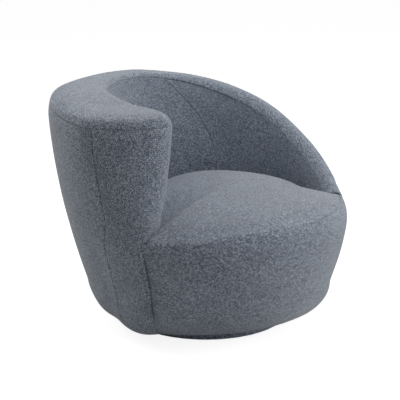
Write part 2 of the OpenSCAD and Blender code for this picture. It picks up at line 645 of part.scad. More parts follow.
// Upright rib from a profile of [radius, height] points, cut away for the ring if it rises past it
module upright(bearing, profile, tall = true) {
    difference() {
        rotate(bearing - 90) rotate([90, 0, 0]) translate([0, 0, -rib_t / 2])
            linear_extrude(rib_t) polygon(profile);
        if (tall) translate([ring_c[0], ring_c[1], ring_z]) cylinder(r = ring_r + 0.3, h = 400, $fn = 96);
        for (r = rib_screw_rs) translate(point(polar(r, bearing), panel_z))
            cylinder(r = screw_bore, h = board_t + 26, $fn = 24);
        translate(point(polar(ring_reach(ring_r - 20, bearing), bearing), ring_z - 23))
            cylinder(r = screw_bore, h = 24, $fn = 24);
    }
}

// Straight chords of the layers, so that a rib follows the facets it carries
function shell_rows(lap, d) = [for (k = [1:wall_n])
    let (p = wall_point(-lap, k, wall_n, d, wall_top(lap) - foam_drop)) [norm([p[0], p[1]]), p[2]]];
function band_rows(d) = [for (k = [1:7]) [band_radius(k, d), band_z(k, d)]];
function chord(rows, z) = lookup(z, [for (p = rows) [p[1], p[0]]]);
function steep(lap) = abs(rim_z(lap + 1) - rim_z(lap - 1)) / 2 / (outer_r(lap, chair_h) * PI / 180);
function skew(lap) = abs(inner_r(lap + 1, chair_h) - inner_r(lap - 1, chair_h)) / 2
    / (inner_r(lap, chair_h) * PI / 180);
function swell(lap) = abs(outer_r(lap + lap_step / 2, band_wide_z)
        - outer_r(lap - lap_step / 2, band_wide_z))
    / (outer_r(lap, band_wide_z) * lap_step * PI / 180);
side_room = 0.2 + rib_t / 2 * tan(lap_step / 2);
// More room for the front ribs, which stand upright behind facets that lean with the crease
lean_room = 0.6 * crease_lean;
rail_drop = top_sink + 1.1;
rail_low = rail_drop + rail_t;

// A back rib has its upper arm where the wall is deep enough for it, and ends at the ring elsewhere
module back_rib(lap) {
    top = wall_top(lap) - rail_low - 0.7 - rib_t / 2 * steep(lap);
    side = shell_rows(lap, shell_liner_d[1]);
    room = side_room + rib_t / 2 * swell(lap);
    in_d = back_liner_d[1] + 1.2 + rib_t / 2 * skew(lap);
    armed = chord(side, foam_z) - room - inner_r(lap, foam_z) - in_d > rib_t / 2;
    end_z = armed ? top : ring_z;
    color([0.78, 0.65, 0.46]) upright(head_bearing - lap, concat(
        [[rib_in_r, panel_top_z]],
        [[chord(side, panel_top_z) - room, panel_top_z]],
        [for (p = side) if (p[1] > panel_top_z + 2 && p[1] < end_z - 2) [p[0] - room, p[1]]],
        [[chord(side, end_z) - room, end_z]],
        armed ? [for (i = [3:-1:0]) let (z = mix(foam_z, top, i / 3)) [inner_r(lap, z) + in_d, z]] : [],
        armed ? [[inner_r(lap, foam_z) + in_d, ring_z]] : [],
        [[rib_in_r, ring_z]]), armed);
}

module front_rib(i) {
    side = band_rows(front_liner_d[1]);
    color([0.78, 0.65, 0.46]) upright(band_qs[i], concat(
        [[rib_in_r, panel_top_z]],
        [[chord(side, panel_top_z) - side_room - lean_room, panel_top_z]],
        [for (p = side) if (p[1] > panel_top_z + 2) [p[0] - side_room - lean_room, p[1]]],
        [[rib_in_r, front_top_z]]));
}

// Post and shelf inside the arm head
post_r = 294;
post_bearing = head_bearing + 1;
post_size = [36, 50];
module post_shape(more) {
    rotate(post_bearing - 90) translate([post_r, 0])
        square([post_size[0] + 2 * more, post_size[1] + 2 * more], center = true);
}

module arm_post() {
    color([0.8, 0.68, 0.5]) translate([0, 0, panel_top_z])
        linear_extrude(wall_top(0) - rail_low - 0.4 - panel_top_z) post_shape(0);
}

module arm_shelf() {
    z = arm_low_z + 12;
    outer_side = [for (b = [36, 24, 12, 0]) edge(-b, z, shell_liner_d[1] + 3)];
    head_side = [for (q = [0.25, 0.46, 0.6, 0.74, 0.87, 1, 1.2, 1.5, 1.75])
        edge(q, z, arm_liner_d[1] + 4)];
    inner_side = [for (b = [12, 24, 36]) edge(b - inner_lap + 2, z, back_liner_d[1] + 3)];
    color([0.74, 0.6, 0.42]) translate([0, 0, z]) difference() {
        linear_extrude(rail_t) polygon(concat(outer_side, head_side, inner_side));
        translate([0, 0, -1]) linear_extrude(rail_t + 2) post_shape(0.1);
        rotate(head_bearing - back_rib_laps[0] - 90) translate([0, -rib_t * 6, -1])
            cube([shell_r + rib_t, rib_t * 6.5 + 0.1, rail_t + 2]);
    }
}

// Rail that closes the top of the frame and sinks with the rim
rail_qs = concat([for (b = [192:-lap_step:12]) [-b, b - inner_lap + 2]],
    [[0, 2], [0.25, 1.8], [0.45, 1.6], [0.64, 1.42]]);
function rail_point(q, z_drop, lap) = let (z = wall_top(lap) - z_drop)
    point(edge(q, z, q <= 0 ? shell_liner_d[1] + 1 : q < 2 ? arm_liner_d[1] + 2.5 : back_liner_d[1] + 1), z);
function rail_grid(z_drop) = [for (c = rail_qs) let (lap = lap_of(c[0]))
    [rail_point(c[0], z_drop, lap), rail_point(c[1], z_drop, lap)]];
module top_rail() {
    color([0.8, 0.68, 0.5]) slab(rail_grid(rail_drop), rail_grid(rail_low));
}

// Bent liners
liner_color = [0.55, 0.43, 0.3];
module shell_liner(from, to) {
    color(liner_color) shell_layer(laps(from, to), shell_liner_d, foam_drop);
}

module arm_liner() {
    color(liner_color) head_layer(arm_liner_d, foam_drop);
}

module front_liner() {
    color(liner_color) band_layer(front_liner_d, 7);
}

module back_liner(from, to) {
    color(liner_color) inner_layer(inner_qs(from, to), back_liner_d, foam_z, foam_drop);
}

// Seam of the inner back, which leans from the top towards the low side
inner_seam = [[0, 136], [0.3, 131], [0.6, 122], [1, 104]];
inner_cells = 8;
function seam_lap(z) = curve(inner_seam, clamp((z - arm_low_z) / (chair_h - arm_low_z), 0, 1));
function split_grid(left, d, drop, thin = 0) = [for (i = [0:inner_cells]) [for (k = [0:inner_n]) let (
        f = i / inner_cells, guess = left ? mix(inner_lap, 110, f) : mix(130, tail_lap, f),
        z_guess = mix(foam_z, wall_top(guess), k / inner_n), s = seam_lap(z_guess),
        lap = left ? mix(inner_lap, s - 0.05, f) : mix(s + 0.05, tail_lap, f),
        top = wall_top(lap) - drop, z = mix(min(foam_z, top - 8), top, k / inner_n))
    point(edge(lap - inner_lap + 2, z, d - thin * ease(lap, 150, tail_lap)), z)]];
// Padding thins towards the tail, where the wall is slim
tail_thin = 13;
module split_layer(left, d, drop, thins = false) {
    slab(split_grid(left, d[0], drop), split_grid(left, d[1], drop, thins ? tail_thin : 0));
}

// Foam and wadding
foam_color = [0.93, 0.9, 0.78];
module inner_foam_left() {
    color(foam_color) split_layer(true, back_foam_d, foam_drop + facet_room, true);
}

module inner_foam_right() {
    color(foam_color) split_layer(false, back_foam_d, foam_drop + facet_room, true);
}

module shell_wadding() {
    color([0.95, 0.95, 0.93]) shell_layer(outer_qs, wadding_d, foam_drop);
}

module arm_front_foam() {
    color(foam_color) head_layer(arm_foam_d, foam_drop);
}

module front_foam() {
    color(foam_color) band_layer(front_foam_d, 7);
}

module top_foam() {
    d = skin[1] + lay;
    color(foam_color) slab([for (c = pair_qs) [for (k = [0:6]) top_point(c[0], c[1], k, d, false)]],
        [for (c = pair_qs) [for (k = [0:6]) top_point(c[0], c[1], k, d, true)]]);
}

rhos = [0.25, 0.5, 0.7, 0.85, 0.95, 1];
module seat_foam() {
    d = skin[1] + 3 * lay;
    color(foam_color) ringed(concat([for (rho = rhos) seat_ring(rho, d)],
        [for (k = [9, 8]) seat_side(band_z(k, d), (10 - k) / 3, d)], [seat_side(foam_z, 1, d)]),
        point(seat_c, seat_h - d), point(seat_c, foam_z));
}

// Covers
fabric_color = [0.36, 0.41, 0.48];
module shell_cover() {
    color(fabric_color) shell_layer(outer_qs, skin, cover_drop);
}

module arm_front_cover() {
    color(fabric_color) head_layer(skin, cover_drop);
}

module top_cover() {
    color(fabric_color) slab([for (c = pair_qs) [for (k = [0:6]) top_point(c[0], c[1], k, 0, false)]],
        [for (c = pair_qs) [for (k = [0:6]) top_point(c[0], c[1], k, fabric_t, false)]]);
}

module inner_cover_left() {
    color(fabric_color) split_layer(true, skin, 2 * cover_drop);
}

module inner_cover_right() {
    color(fabric_color) split_layer(false, skin, 2 * cover_drop);
}

module seat_cover() {
    color(fabric_color) ringed(concat([for (rho = rhos) seat_ring(rho, 0)],
        reversed([for (rho = rhos) seat_ring(rho, fabric_t)])),
        point(seat_c, seat_h), point(seat_c, seat_h - fabric_t));
}

module front_cover() {
    color(fabric_color) band_layer(skin, 10);
}

// Elastic webbing across the seat ring
module straps(z) {
    for (i = [-2:2]) let (
        x = i * (strap_w + 28), l = sqrt(pow(ring_r - 10, 2) - pow(abs(x) + strap_w / 2, 2)))
        translate([ring_c[0] + x - strap_w / 2, ring_c[1] - l, z]) cube([strap_w, 2 * l, strap_t]);
}

module webbing_long() {
    color([0.2, 0.2, 0.22]) straps(ring_top_z);
}

module webbing_cross() {
    color([0.25, 0.25, 0.27]) translate([ring_c[0], ring_c[1], 0]) rotate(90)
        translate([-ring_c[0], -ring_c[1], 0]) straps(ring_top_z + strap_t);
}

// Shell liner panels from lap to lap, and back liner panels
shell_panels = [[tail_lap, 144], [144, 72], [72, 0]];
back_panels = [[12, 96], [96, 180]];

// Sub-parts

glides();
plinth_lower_board();
plinth_ring();
plinth_upper_board();
plinth_screws();
plinth_cover();
lower_swivel_plate();
lower_plate_screws();
ball_cage();
swivel_balls();
upper_swivel_plate();
swivel_pin();
upper_plate_bolts();
tee_nuts();
base_panel();
skirt_ring();
dust_cover();
rib_screws();
seat_ring_board();
ring_screws();
webbing_long();
webbing_cross();
arm_post();
arm_shelf();
top_rail();
arm_liner();
front_liner();
shell_wadding();
arm_front_foam();
front_foam();
top_foam();
inner_foam_left();
inner_foam_right();
seat_foam();
shell_cover();
arm_front_cover();
top_cover();
inner_cover_left();
inner_cover_right();
seat_cover();
front_cover();
for (i = [1:7]) back_rib(back_rib_laps[i - 1]);
for (i = [1:5]) front_rib(front_rib_cols[i - 1]);
for (i = [1:3]) shell_liner(shell_panels[i - 1][0], shell_panels[i - 1][1]);
for (i = [1:2]) back_liner(back_panels[i - 1][0], back_panels[i - 1][1]);
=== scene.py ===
"""Swivel armchair in tweed: the dressed model of the packed part, in metres and in its frame.

The wall of the chair winds from the tall arm head round the back and sinks into the seat.
Its panels are sewn surfaces made from one set of formulas, so neighbours share each seam.
"""

import json
import math

import bmesh
import bpy
import numpy as np
from bpy.props import FloatProperty, FloatVectorProperty, IntProperty, PointerProperty
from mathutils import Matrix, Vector, kdtree

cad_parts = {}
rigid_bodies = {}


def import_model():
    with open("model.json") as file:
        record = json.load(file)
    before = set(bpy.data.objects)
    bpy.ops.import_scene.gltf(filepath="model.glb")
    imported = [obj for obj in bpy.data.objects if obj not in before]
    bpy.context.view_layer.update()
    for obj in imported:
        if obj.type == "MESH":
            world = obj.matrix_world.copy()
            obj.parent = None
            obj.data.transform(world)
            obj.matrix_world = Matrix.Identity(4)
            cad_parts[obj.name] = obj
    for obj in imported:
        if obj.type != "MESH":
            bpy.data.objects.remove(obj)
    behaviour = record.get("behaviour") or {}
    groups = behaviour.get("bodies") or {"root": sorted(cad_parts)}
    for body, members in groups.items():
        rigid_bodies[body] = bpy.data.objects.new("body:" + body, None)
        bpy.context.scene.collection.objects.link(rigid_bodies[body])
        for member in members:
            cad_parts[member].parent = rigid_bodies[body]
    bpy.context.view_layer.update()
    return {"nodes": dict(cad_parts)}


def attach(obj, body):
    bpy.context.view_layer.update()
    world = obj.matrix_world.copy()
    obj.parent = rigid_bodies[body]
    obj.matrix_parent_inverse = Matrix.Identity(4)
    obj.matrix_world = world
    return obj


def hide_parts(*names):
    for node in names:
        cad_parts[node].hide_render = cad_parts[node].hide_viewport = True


bl_info = {
    "name": "Swivel Armchair",
    "version": (1, 0, 0),
    "blender": (4, 5, 0),
    "location": "View3D > Sidebar > Armchair",
    "description": "Builds a round swivel armchair with one high winding arm",
    "category": "Add Mesh",
}

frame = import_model()


def length(name, text, default, lowest=0.0):
    return FloatProperty(name=name, description=text, default=default, min=lowest, unit="LENGTH",
                         subtype="DISTANCE", precision=4)


def number(name, text, default, lowest=0.0, highest=100.0):
    return FloatProperty(name=name, description=text, default=default, min=lowest, max=highest)


def degrees(name, text, default):
    return FloatProperty(name=name, description=text, default=default, min=-360.0, max=360.0)


def shade(name, text, default):
    return FloatVectorProperty(name=name, description=text, default=default, size=3, min=0.0,
                               max=1.0, subtype="COLOR")


class ArmchairForm(bpy.types.PropertyGroup):
    """Sizes of the upholstered body"""
    chair_h: length("Height", "Height of the arm and of the back", 0.675)
    shell_r: length("Shell radius", "Radius of the shell at its top edge", 0.458)
    shell_taper: length("Shell taper", "How much the shell draws in towards the floor", 0.146)
    floor_gap: length("Floor gap", "Height of the upholstered underside", 0.028)
    foot_round: length("Foot rounding", "Radius of the rolled bottom edge of the body", 0.100)
    top_round: length("Top rounding", "Height of the rounded top edge over its seam", 0.033)
    inner_share: number("Inner seam share", "Drop of the inner top seam for that of the outer", 0.45,
                        0.1, 1.0)
    shoulder_h: length("Shoulder height", "Height over which the wall leans in to its top seam", 0.036)
    shoulder_in: length("Shoulder lean", "How far the wall leans in at its top seam", 0.005)
    top_crown: length("Top crown", "Crown across the middle of the arm top", 0.002)
    top_square: number("Top squareness", "Width of the rounded top edge for its height", 0.46,
                       0.3, 1.5)
    seat_h: length("Seat height", "Height of the seat at its crown", 0.3948)
    seam_h: length("Seat seam height", "Height of the seam in front of the seat", 0.361)
    seam_r: length("Seat seam radius", "Radius of that seam", 0.400)
    band_r: length("Front band radius", "Widest radius of the front band", 0.417)
    band_taper: length("Front band taper", "How much the band draws in to the floor", 0.090)
    arm_tuck: length("Arm tuck", "How far the seat dips where it meets the arm", 0.114)
    back_tuck: length("Back tuck", "How far the seat dips where it meets the back", 0.078)
    crease_dip: length("Crease dip", "How far the front seam sinks towards the arm", 0.028)
    tail_dip: length("Tail dip", "How far the front seam sinks at the low tail", 0.005)
    tail_run: length("Tail run", "Stretch at the low tail over which the tuck turns into a seam", 0.42)
    tip_r: length("Tip radius", "Distance of the head's tip from the axis", 0.296)
    tip_bearing: degrees("Tip bearing", "Bearing of the head's tip, in degrees", -51.3)
    crease_bearing: degrees("Crease bearing", "Bearing of the crease, in degrees", -58.5)
    crease_lean: degrees("Crease lean", "Degrees that the crease swings on its way down", 2.0)
    crease_proud: length("Crease step", "How far the arm front stands proud at the crease", 0.005)
    head_bearing: degrees("Head bearing", "Bearing of the head's outer end, in degrees", -84.0)
    plinth_r: length("Plinth radius", "Radius of the covered plinth", 0.244)
    seam_w: length("Seam roll", "Width over which a panel rolls into its seam", 0.0038)
    seam_d: length("Seam depth", "Depth of the groove at a seam", 0.0030)
    top_seam: number("Top seam share", "Depth of the top seams for that of the others", 0.45, 0.0, 1.0)
    swell: length("Panel swell", "Fullness of a padded panel between its seams", 0.004)


class TweedLook(bpy.types.PropertyGroup):
    """Yarns and colours of the cover"""
    dark: shade("Dark yarn", "Colour of the dark slubs", (0.048, 0.064, 0.094))
    middle: shade("Middle yarn", "Colour of the ground yarn", (0.178, 0.212, 0.264))
    light: shade("Light yarn", "Colour of the light slubs", (0.475, 0.525, 0.595))
    slub_l: length("Slub length", "Length of one slub", 0.0021)
    slub_w: length("Slub width", "Width of one slub", 0.0017)
    weave_l: length("Weave length", "Length of one lifted yarn", 0.0034)
    weave_w: length("Weave width", "Width of one lifted yarn", 0.0028)
    loose: number("Looseness", "How unevenly the slubs lie in their rows", 0.5, 0.0, 1.0)
    # Weave sets the strength of the painted light on the lifted yarns and of the painted shade on the
    # sunken ones
    weave: number("Weave", "How much lighter the upper yarns are than the lower ones", 0.36, 0.0, 1.0)
    fibre: length("Fibre size", "Size of the fine fibres", 0.0011)
    relief: length("Yarn relief", "Height of the yarns over the ground", 0.0007)
    sheen: number("Sheen", "Strength of the soft halo at the edges", 0.46, 0.0, 1.0)


class FrameFinish(bpy.types.PropertyGroup):
    """Colours of what the covers hide or leave bare"""
    plywood: shade("Plywood", "Face of the boards", (0.56, 0.39, 0.22))
    softwood: shade("Softwood", "Ribs, post and rail", (0.66, 0.47, 0.27))
    hardboard: shade("Hardboard", "Bent liners", (0.25, 0.15, 0.08))
    zinc: shade("Zinc", "Screws, bolts and nuts", (0.62, 0.63, 0.62))
    plate: shade("Plate steel", "Swivel plates and balls", (0.55, 0.56, 0.58))
    cage: shade("Cage plastic", "Ball cage", (0.72, 0.70, 0.62))
    glide: shade("Glide plastic", "Glides", (0.020, 0.020, 0.022))
    webbing: shade("Webbing", "Elastic straps", (0.035, 0.036, 0.042))
    dust_cloth: shade("Dust cloth", "Non-woven cloth under the base", (0.012, 0.012, 0.014))
    foam: shade("Foam", "Padding", (0.80, 0.74, 0.54))
    thread: shade("Thread", "Sewing thread in the seams", (0.075, 0.090, 0.115))


class StudioLook(bpy.types.PropertyGroup):
    """Floor, light and camera"""
    top_light: number("Top light", "Watts of the large overhead light", 26.0, 0.0, 2000.0)
    right_light: number("Right light", "Watts of the low light at the right", 25.0, 0.0, 2000.0)
    front_light: number("Front light", "Watts of the light before the seat", 12.0, 0.0, 2000.0)
    back_light: number("Back light", "Watts of the light behind the arm", 23.0, 0.0, 2000.0)
    fill: number("Fill", "Strength of the even light from all round", 0.25, 0.0, 4.0)
    floor: shade("Floor", "Colour of the floor", (0.58, 0.58, 0.58))
    lens: number("Lens", "Focal length in millimetres on a 36 mm frame", 121.15, 10.0, 500.0)


# Numbers and curves of the winding wall

# Height of the rim between the seat seam (0) and the full height (1), by lap
RIM = ((0, 0.987), (12, 1.004), (30, 1.030), (60, 1.016), (95, 0.995), (113, 0.944), (126, 0.892),
       (141, 0.803), (158, 0.652), (176, 0.422), (186, 0.3), (196, 0.18), (206, 0.08), (216, 0))
# Radius of the inner wall by lap, as a share of the shell's
INNER = ((8, 0.502), (24, 0.555), (41, 0.622), (56, 0.657), (67, 0.69), (79, 0.731), (93, 0.769),
         (130, 0.806), (180, 0.838), (216, 0.858))
# Lap of the leaning seam in the inner back, by height
INNER_SEAM = ((0, 136), (0.3, 131), (0.6, 122), (1, 104))
# Rolled foot of the shell and arm front by degrees past the head, and of the front band by share
# of its length: radius of the hem, height of the roll, and how square the roll is
SHELL_FOOT = (((-216, 0.306), (-180, 0.257), (-25, 0.257), (-12, 0.267), (-5, 0.271), (7, 0.312),
               (18, 0.318), (27.5, 0.274)),
              ((-216, 0.075), (-180, 0.100), (-50, 0.100), (-30, 0.093), (7, 0.115), (27.5, 0.160)),
              ((-216, 2.15), (-180, 1.85), (-50, 1.85), (-30, 1.77), (-13, 2.12), (7, 1.80),
               (27.5, 1.95)))
BAND_FOOT = (((0, 0.278), (0.28, 0.253), (0.62, 0.253), (1, 0.306)),
             ((0, 0.180), (0.3, 0.160), (1, 0.075)), ((0, 1.85), (1, 2.15)))
# Fullness of the shell near the tail, and of the front band
RIM_SWELL, BAND_SWELL = 0.0090, 0.0022
# How late the shell and the band draw in on their way down, and the band on its way up
SHELL_BEND, BAND_BEND, SHOULDER_BEND = 1.78, 1.45, 2.6
# Share by which the shell's radius shrinks at its tail, and the lap where that starts
TAIL_SHRINK, SHRINK_LAP = 0.045, 70
# How far the seat's level by the arm lies under its crown, and the hem's gap from the plinth
ARM_SINK, HEM_ROOM = 0.0048, 0.008
# Laps where the body ends, where the inner wall starts, and where the shell turns into the band
TAIL_LAP, INNER_LAP, TAIL_GROW = 216.0, 8.0, 160.0
# Places of the crease and of the arm front's outer seam round the head, and the crease's degrees
CREASE_Q, SEAM_Q, CREASE_PAST = 0.6, 0.16, 27.5
# Heights of the band's widest line, of the head's wrap to the crease, and of the padding's foot
BAND_WIDE_Z, WRAP_LOW_Z, PADDING_Z = 0.300, 0.300, 0.3216
# How far the back and the head's tip lean, and the degrees that the tip swings
BACK_RAKE, TIP_LEAN, TIP_SWING = 0.030, 0.015, 6.4
# Handle lengths of the head's two arcs, the outer one's low and high, and their way at the tip
BOW_OUT, BOW_TIP, BOW_IN_TIP, BOW_IN_END = (0.160, 0.090), (0.105, 0.058), 0.060, 0.080
TIP_WAY = math.radians(146)
# Middle of the seat, and how nearly its dome falls as a ball does
SEAT_CENTRE, SEAT_BEND = np.array([0.062, -0.044]), 0.992
# Distance between the rows and columns of a panel, and distances of the close rows from a seam
PITCH = 0.0078
SEAM_ROWS = np.array([0, 0.0005, 0.0011, 0.0019, 0.0028, 0.0040, 0.0060])
# Stretch under a top seam whose rows keep their distance from it
NEAR_SEAM = 0.02
# How far the stapled hem lies under the body's underside
HEM_SINK = 0.0004
BOTH_ENDS = {"u0": True, "u1": True}


def mix(a, b, t):
    """Value at share t of the way from a to b"""
    return a + (b - a) * t


def ease(x, lowest, highest):
    """Smooth step from 0 at the lowest x to 1 at the highest"""
    t = np.clip((x - lowest) / (highest - lowest), 0, 1)
    return t * t * (3 - 2 * t)


def polar(r, bearing):
    """Plan point at a radius and a bearing in degrees from the open front"""
    turn = np.radians(bearing)
    return np.stack(np.broadcast_arrays(r * np.sin(turn), -r * np.cos(turn)), -1)


def curve(table, x):
    """Smooth curve through a short table of points"""
    xs, ys = np.array(table, float).T
    slope = np.empty_like(ys)
    slope[1:-1] = (ys[2:] - ys[:-2]) / (xs[2:] - xs[:-2])
    slope[0] = (ys[1] - ys[0]) / (xs[1] - xs[0])
    slope[-1] = (ys[-1] - ys[-2]) / (xs[-1] - xs[-2])
    x = np.clip(x, xs[0], xs[-1])
    i = np.clip(np.searchsorted(xs, x, side="right") - 1, 0, len(xs) - 2)
    h = xs[i + 1] - xs[i]
    t = (x - xs[i]) / h
    return ((2 * t**3 - 3 * t**2 + 1) * ys[i] + (t**3 - 2 * t**2 + t) * h * slope[i]
            + (3 * t**2 - 2 * t**3) * ys[i + 1] + (t**3 - t**2) * h * slope[i + 1])


class Winding:
    """The body's surfaces. A lap counts degrees from the head's outer end round the back; q is
    minus the lap on the outer side, 0 to 2 round the arm head, and lap - 6 on the inner side."""

    def __init__(self, form):
        self.f = form
        self.tail_bearing = form.head_bearing - TAIL_LAP + 360
        self.arm_low_z = form.seat_h - ARM_SINK
        self.foot_line = form.floor_gap + form.foot_round
        self.hem_r = form.plinth_r + HEM_ROOM

    def rim_z(self, lap):
        return mix(self.f.seam_h + 0.001, self.f.chair_h, curve(RIM, lap))

    def shell_out(self, lap, z):
        f = self.f
        share = np.clip(z, 0, f.chair_h) / f.chair_h
        past = np.clip((lap - SHRINK_LAP) / (TAIL_LAP - SHRINK_LAP), 0, 1)
        return (f.shell_r - f.shell_taper * (1 - share)**SHELL_BEND) * (1 - TAIL_SHRINK * past**1.5)

    def band(self, z):
        f = self.f
        down = np.clip(BAND_WIDE_Z - z, 0, BAND_WIDE_Z) / BAND_WIDE_Z
        up = np.clip(np.minimum(z, f.seam_h) - BAND_WIDE_Z, 0, 1) / (f.seam_h - BAND_WIDE_Z)
        return f.band_r - f.band_taper * down**BAND_BEND - (f.band_r - f.seam_r) * up**SHOULDER_BEND

    def band_at(self, z, share):
        """Radius of the front band with its fullness, from the crease (0) to the tail (1)"""
        return self.band(z) + BAND_SWELL * ease(share, 0.4, 0.8)

    def outer_r(self, lap, z):
        low = np.minimum(z, self.f.seam_h)
        grow = ease(lap, TAIL_GROW, TAIL_LAP)
        swell = RIM_SWELL * ease(lap, 146, 190) * (1 - ease(lap, 203, TAIL_LAP)) * ease(z, 0.1, 0.34)
        return (self.shell_out(lap, z) + swell + BAND_SWELL * grow
                + grow * (self.band(low) - self.shell_out(lap, low)))

    def high(self, z):
        return np.clip((z - self.arm_low_z) / (self.f.chair_h - self.arm_low_z), 0, 1)

    def inner_r(self, lap, z):
        return (self.f.shell_r * curve(INNER, lap)
                - (1 - self.high(z)) * BACK_RAKE * np.clip((lap - 20) / 60, 0, 1))

    def crease_line(self, z):
        f = self.f
        return f.crease_bearing + f.crease_lean * np.clip(
            (WRAP_LOW_Z - z) / (WRAP_LOW_Z - self.foot_line), 0, 1)

    def head_curve(self, q, z):
        f = self.f
        high, rise = self.high(z)[..., None], self.high(z)**0.6
        tip = polar(mix(f.tip_r + TIP_LEAN, f.tip_r, rise),
                    mix(f.tip_bearing - TIP_SWING, f.tip_bearing, rise))
        tip_way = np.array([math.sin(TIP_WAY), -math.cos(TIP_WAY)])
        along = polar(1.0, f.head_bearing + 90)
        start = polar(self.outer_r(0.0, z), f.head_bearing)
        end = polar(self.inner_r(INNER_LAP, z), f.head_bearing - INNER_LAP)
        t = np.where(q <= 1, q, q - 1)[..., None]
        outer = (start, start + mix(BOW_OUT[0], BOW_OUT[1], high) * along,
                 tip - mix(BOW_TIP[0], BOW_TIP[1], high) * tip_way, tip)
        inner = (tip, tip + BOW_IN_TIP * tip_way, end + BOW_IN_END * along, end)
        arcs = [(1 - t)**3 * p[0] + 3 * (1 - t)**2 * t * p[1] + 3 * (1 - t) * t**2 * p[2]
                + t**3 * p[3] for p in (outer, inner)]
        return np.where(q[..., None] <= 1, arcs[0], arcs[1])

    def head_wrap(self, q, z):
        f = self.f
        share = np.clip(q / CREASE_Q, 0, 1)
        proud = self.band(z) + f.crease_proud
        near = polar(mix(self.outer_r(0.0, z), proud, share),
                     mix(f.head_bearing, self.crease_line(z), share))
        seat_level = np.full_like(z, self.arm_low_z)
        at_crease = self.head_curve(np.full_like(z, CREASE_Q), seat_level)
        shift = polar(proud, self.crease_line(z)) - at_crease
        far = self.head_curve(q, seat_level) + shift * ((2 - q) / (2 - CREASE_Q))[..., None]
        return np.where(q[..., None] <= CREASE_Q, near, far)

    def plan(self, q, z):
        """Point of the body's outline at q and height z"""
        q, z = np.broadcast_arrays(np.asarray(q, float), np.asarray(z, float))
        outer = polar(self.outer_r(np.maximum(0, -q), z), self.f.head_bearing + q)
        lap = np.maximum(q + INNER_LAP - 2, INNER_LAP)
        inner = polar(self.inner_r(lap, z), self.f.head_bearing - lap)
        mid = np.clip(q, 0, 2)
        low = ease(z, WRAP_LOW_Z, self.arm_low_z)[..., None]
        head = mix(self.head_wrap(mid, z), self.head_curve(mid, z), low)
        point = np.where(q[..., None] <= 0, outer, np.where(q[..., None] >= 2, inner, head))
        return point + self.lean_in(q, z)[..., None] * self.inward(q, z)

    def lean_in(self, q, z):
        """How far the outer wall leans in as it nears its top seam"""
        f = self.f
        share = np.clip(1 - (self.seam_top(q) - z) / f.shoulder_h, 0, 1)
        wide = ease(self.rim_z(self.lap_of(q)) - f.seam_h, 0.02, 0.12)
        return f.shoulder_in * share**2 * wide * (1 - ease(q, 0.9, 1.1))

    def inward(self, q, z):
        """Unit step from the outer wall towards the wall's middle"""
        radial = -polar(1.0, self.f.head_bearing + np.minimum(q, 0))
        ahead = (self.head_curve(np.clip(q + 0.02, 0.02, 1), z)
                 - self.head_curve(np.clip(q - 0.02, 0, 0.98), z))
        ahead = unit(ahead)
        side = np.stack([-ahead[..., 1], ahead[..., 0]], -1)
        return np.where(q[..., None] <= 0, radial, mix(radial, side, ease(q, 0, 0.12)[..., None]))

    def lap_of(self, q):
        return np.where(q <= 0, -q, np.where(q >= 2, q + INNER_LAP - 2, q / 2 * INNER_LAP))

    def edge_round(self, lap):
        width = self.outer_r(lap, self.rim_z(lap)) - self.inner_r(lap, self.rim_z(lap))
        return np.minimum(self.f.top_round, 0.42 * width)

    def drop(self, q):
        """How far the top seam lies under the rim: less on the inner side"""
        share = mix(self.f.inner_share, 0.90, ease(q, 100, 145))
        return self.edge_round(self.lap_of(q)) * mix(1.0, share, ease(q, 6, 46))

    def seam_top(self, q):
        q = np.asarray(q, float)
        return self.rim_z(self.lap_of(q)) - self.drop(q)

    def shell_foot(self, q):
        past = q if q < 0 else min(q, CREASE_Q) / CREASE_Q * CREASE_PAST
        return [float(curve(table, past)) for table in SHELL_FOOT]

    def band_foot(self, share):
        return [float(curve(table, share)) for table in BAND_FOOT]

    def seat_seam(self, share):
        """Height of the seat's front seam, from the crease (0) to the tail (1)"""
        f = self.f
        return (f.seam_h - f.crease_dip * (1 - ease(share, 0.0, 0.42))
                - f.tail_dip * ease(share, 0.84, 1.0))

    def seam_lap(self, z):
        return curve(INNER_SEAM, self.high(z))


def inner_place(lap):
    """Place along the body of a lap on the inner side"""
    return lap - INNER_LAP + 2


# Grids of points, and the panels sewn from them

def steps(start, end, pitch, fine_start=False, fine_end=False):
    """Distances from start to end at about one pitch, with close rows where a seam is"""
    span = end - start
    head = SEAM_ROWS if fine_start else np.array([0.0])
    tail = SEAM_ROWS if fine_end else np.array([0.0])
    low, high = head[-1], span - tail[-1]
    middle = np.linspace(low, high, max(2, int(round((high - low) / pitch)) + 1))
    return start + np.concatenate([head[:-1], middle, span - tail[:-1][::-1]])


def unit(ways, least=1e-9):
    return ways / np.maximum(np.linalg.norm(ways, axis=-1, keepdims=True), least)


def arc_lengths(line):
    return np.concatenate([[0], np.cumsum(np.linalg.norm(np.diff(line, axis=0), axis=1))])


def runs_up(grid):
    """Distance of every point from the first one of its column"""
    up = np.linalg.norm(np.diff(grid, axis=1), axis=2)
    return np.concatenate([np.zeros((len(grid), 1)), np.cumsum(up, axis=1)], axis=1)


def normals_of(grid):
    return unit(np.cross(np.gradient(grid, axis=0), np.gradient(grid, axis=1)), 1e-12)


def cloth_map(grid):
    """Flat coordinates in metres: mean run along the grid, and the run up each column"""
    along = np.linalg.norm(np.diff(grid, axis=0), axis=2).mean(axis=1)
    u = np.concatenate([[0], np.cumsum(along)])
    return np.stack(np.broadcast_arrays(u[:, None], runs_up(grid)), -1)


def edge_runs(grid, u0=False, u1=False, v1=False):
    """Distance of every point from the nearest sewn edge of its grid"""
    nearest = np.full(grid.shape[:2], 9.0)
    along = np.linalg.norm(np.diff(grid, axis=0), axis=2)
    from_u0 = np.concatenate([np.zeros((1, grid.shape[1])), np.cumsum(along, axis=0)])
    up = runs_up(grid)
    for wanted, run in ((u0, from_u0), (u1, from_u0[-1] - from_u0), (v1, up[:, -1:] - up)):
        if wanted:
            nearest = np.minimum(nearest, run)
    return nearest


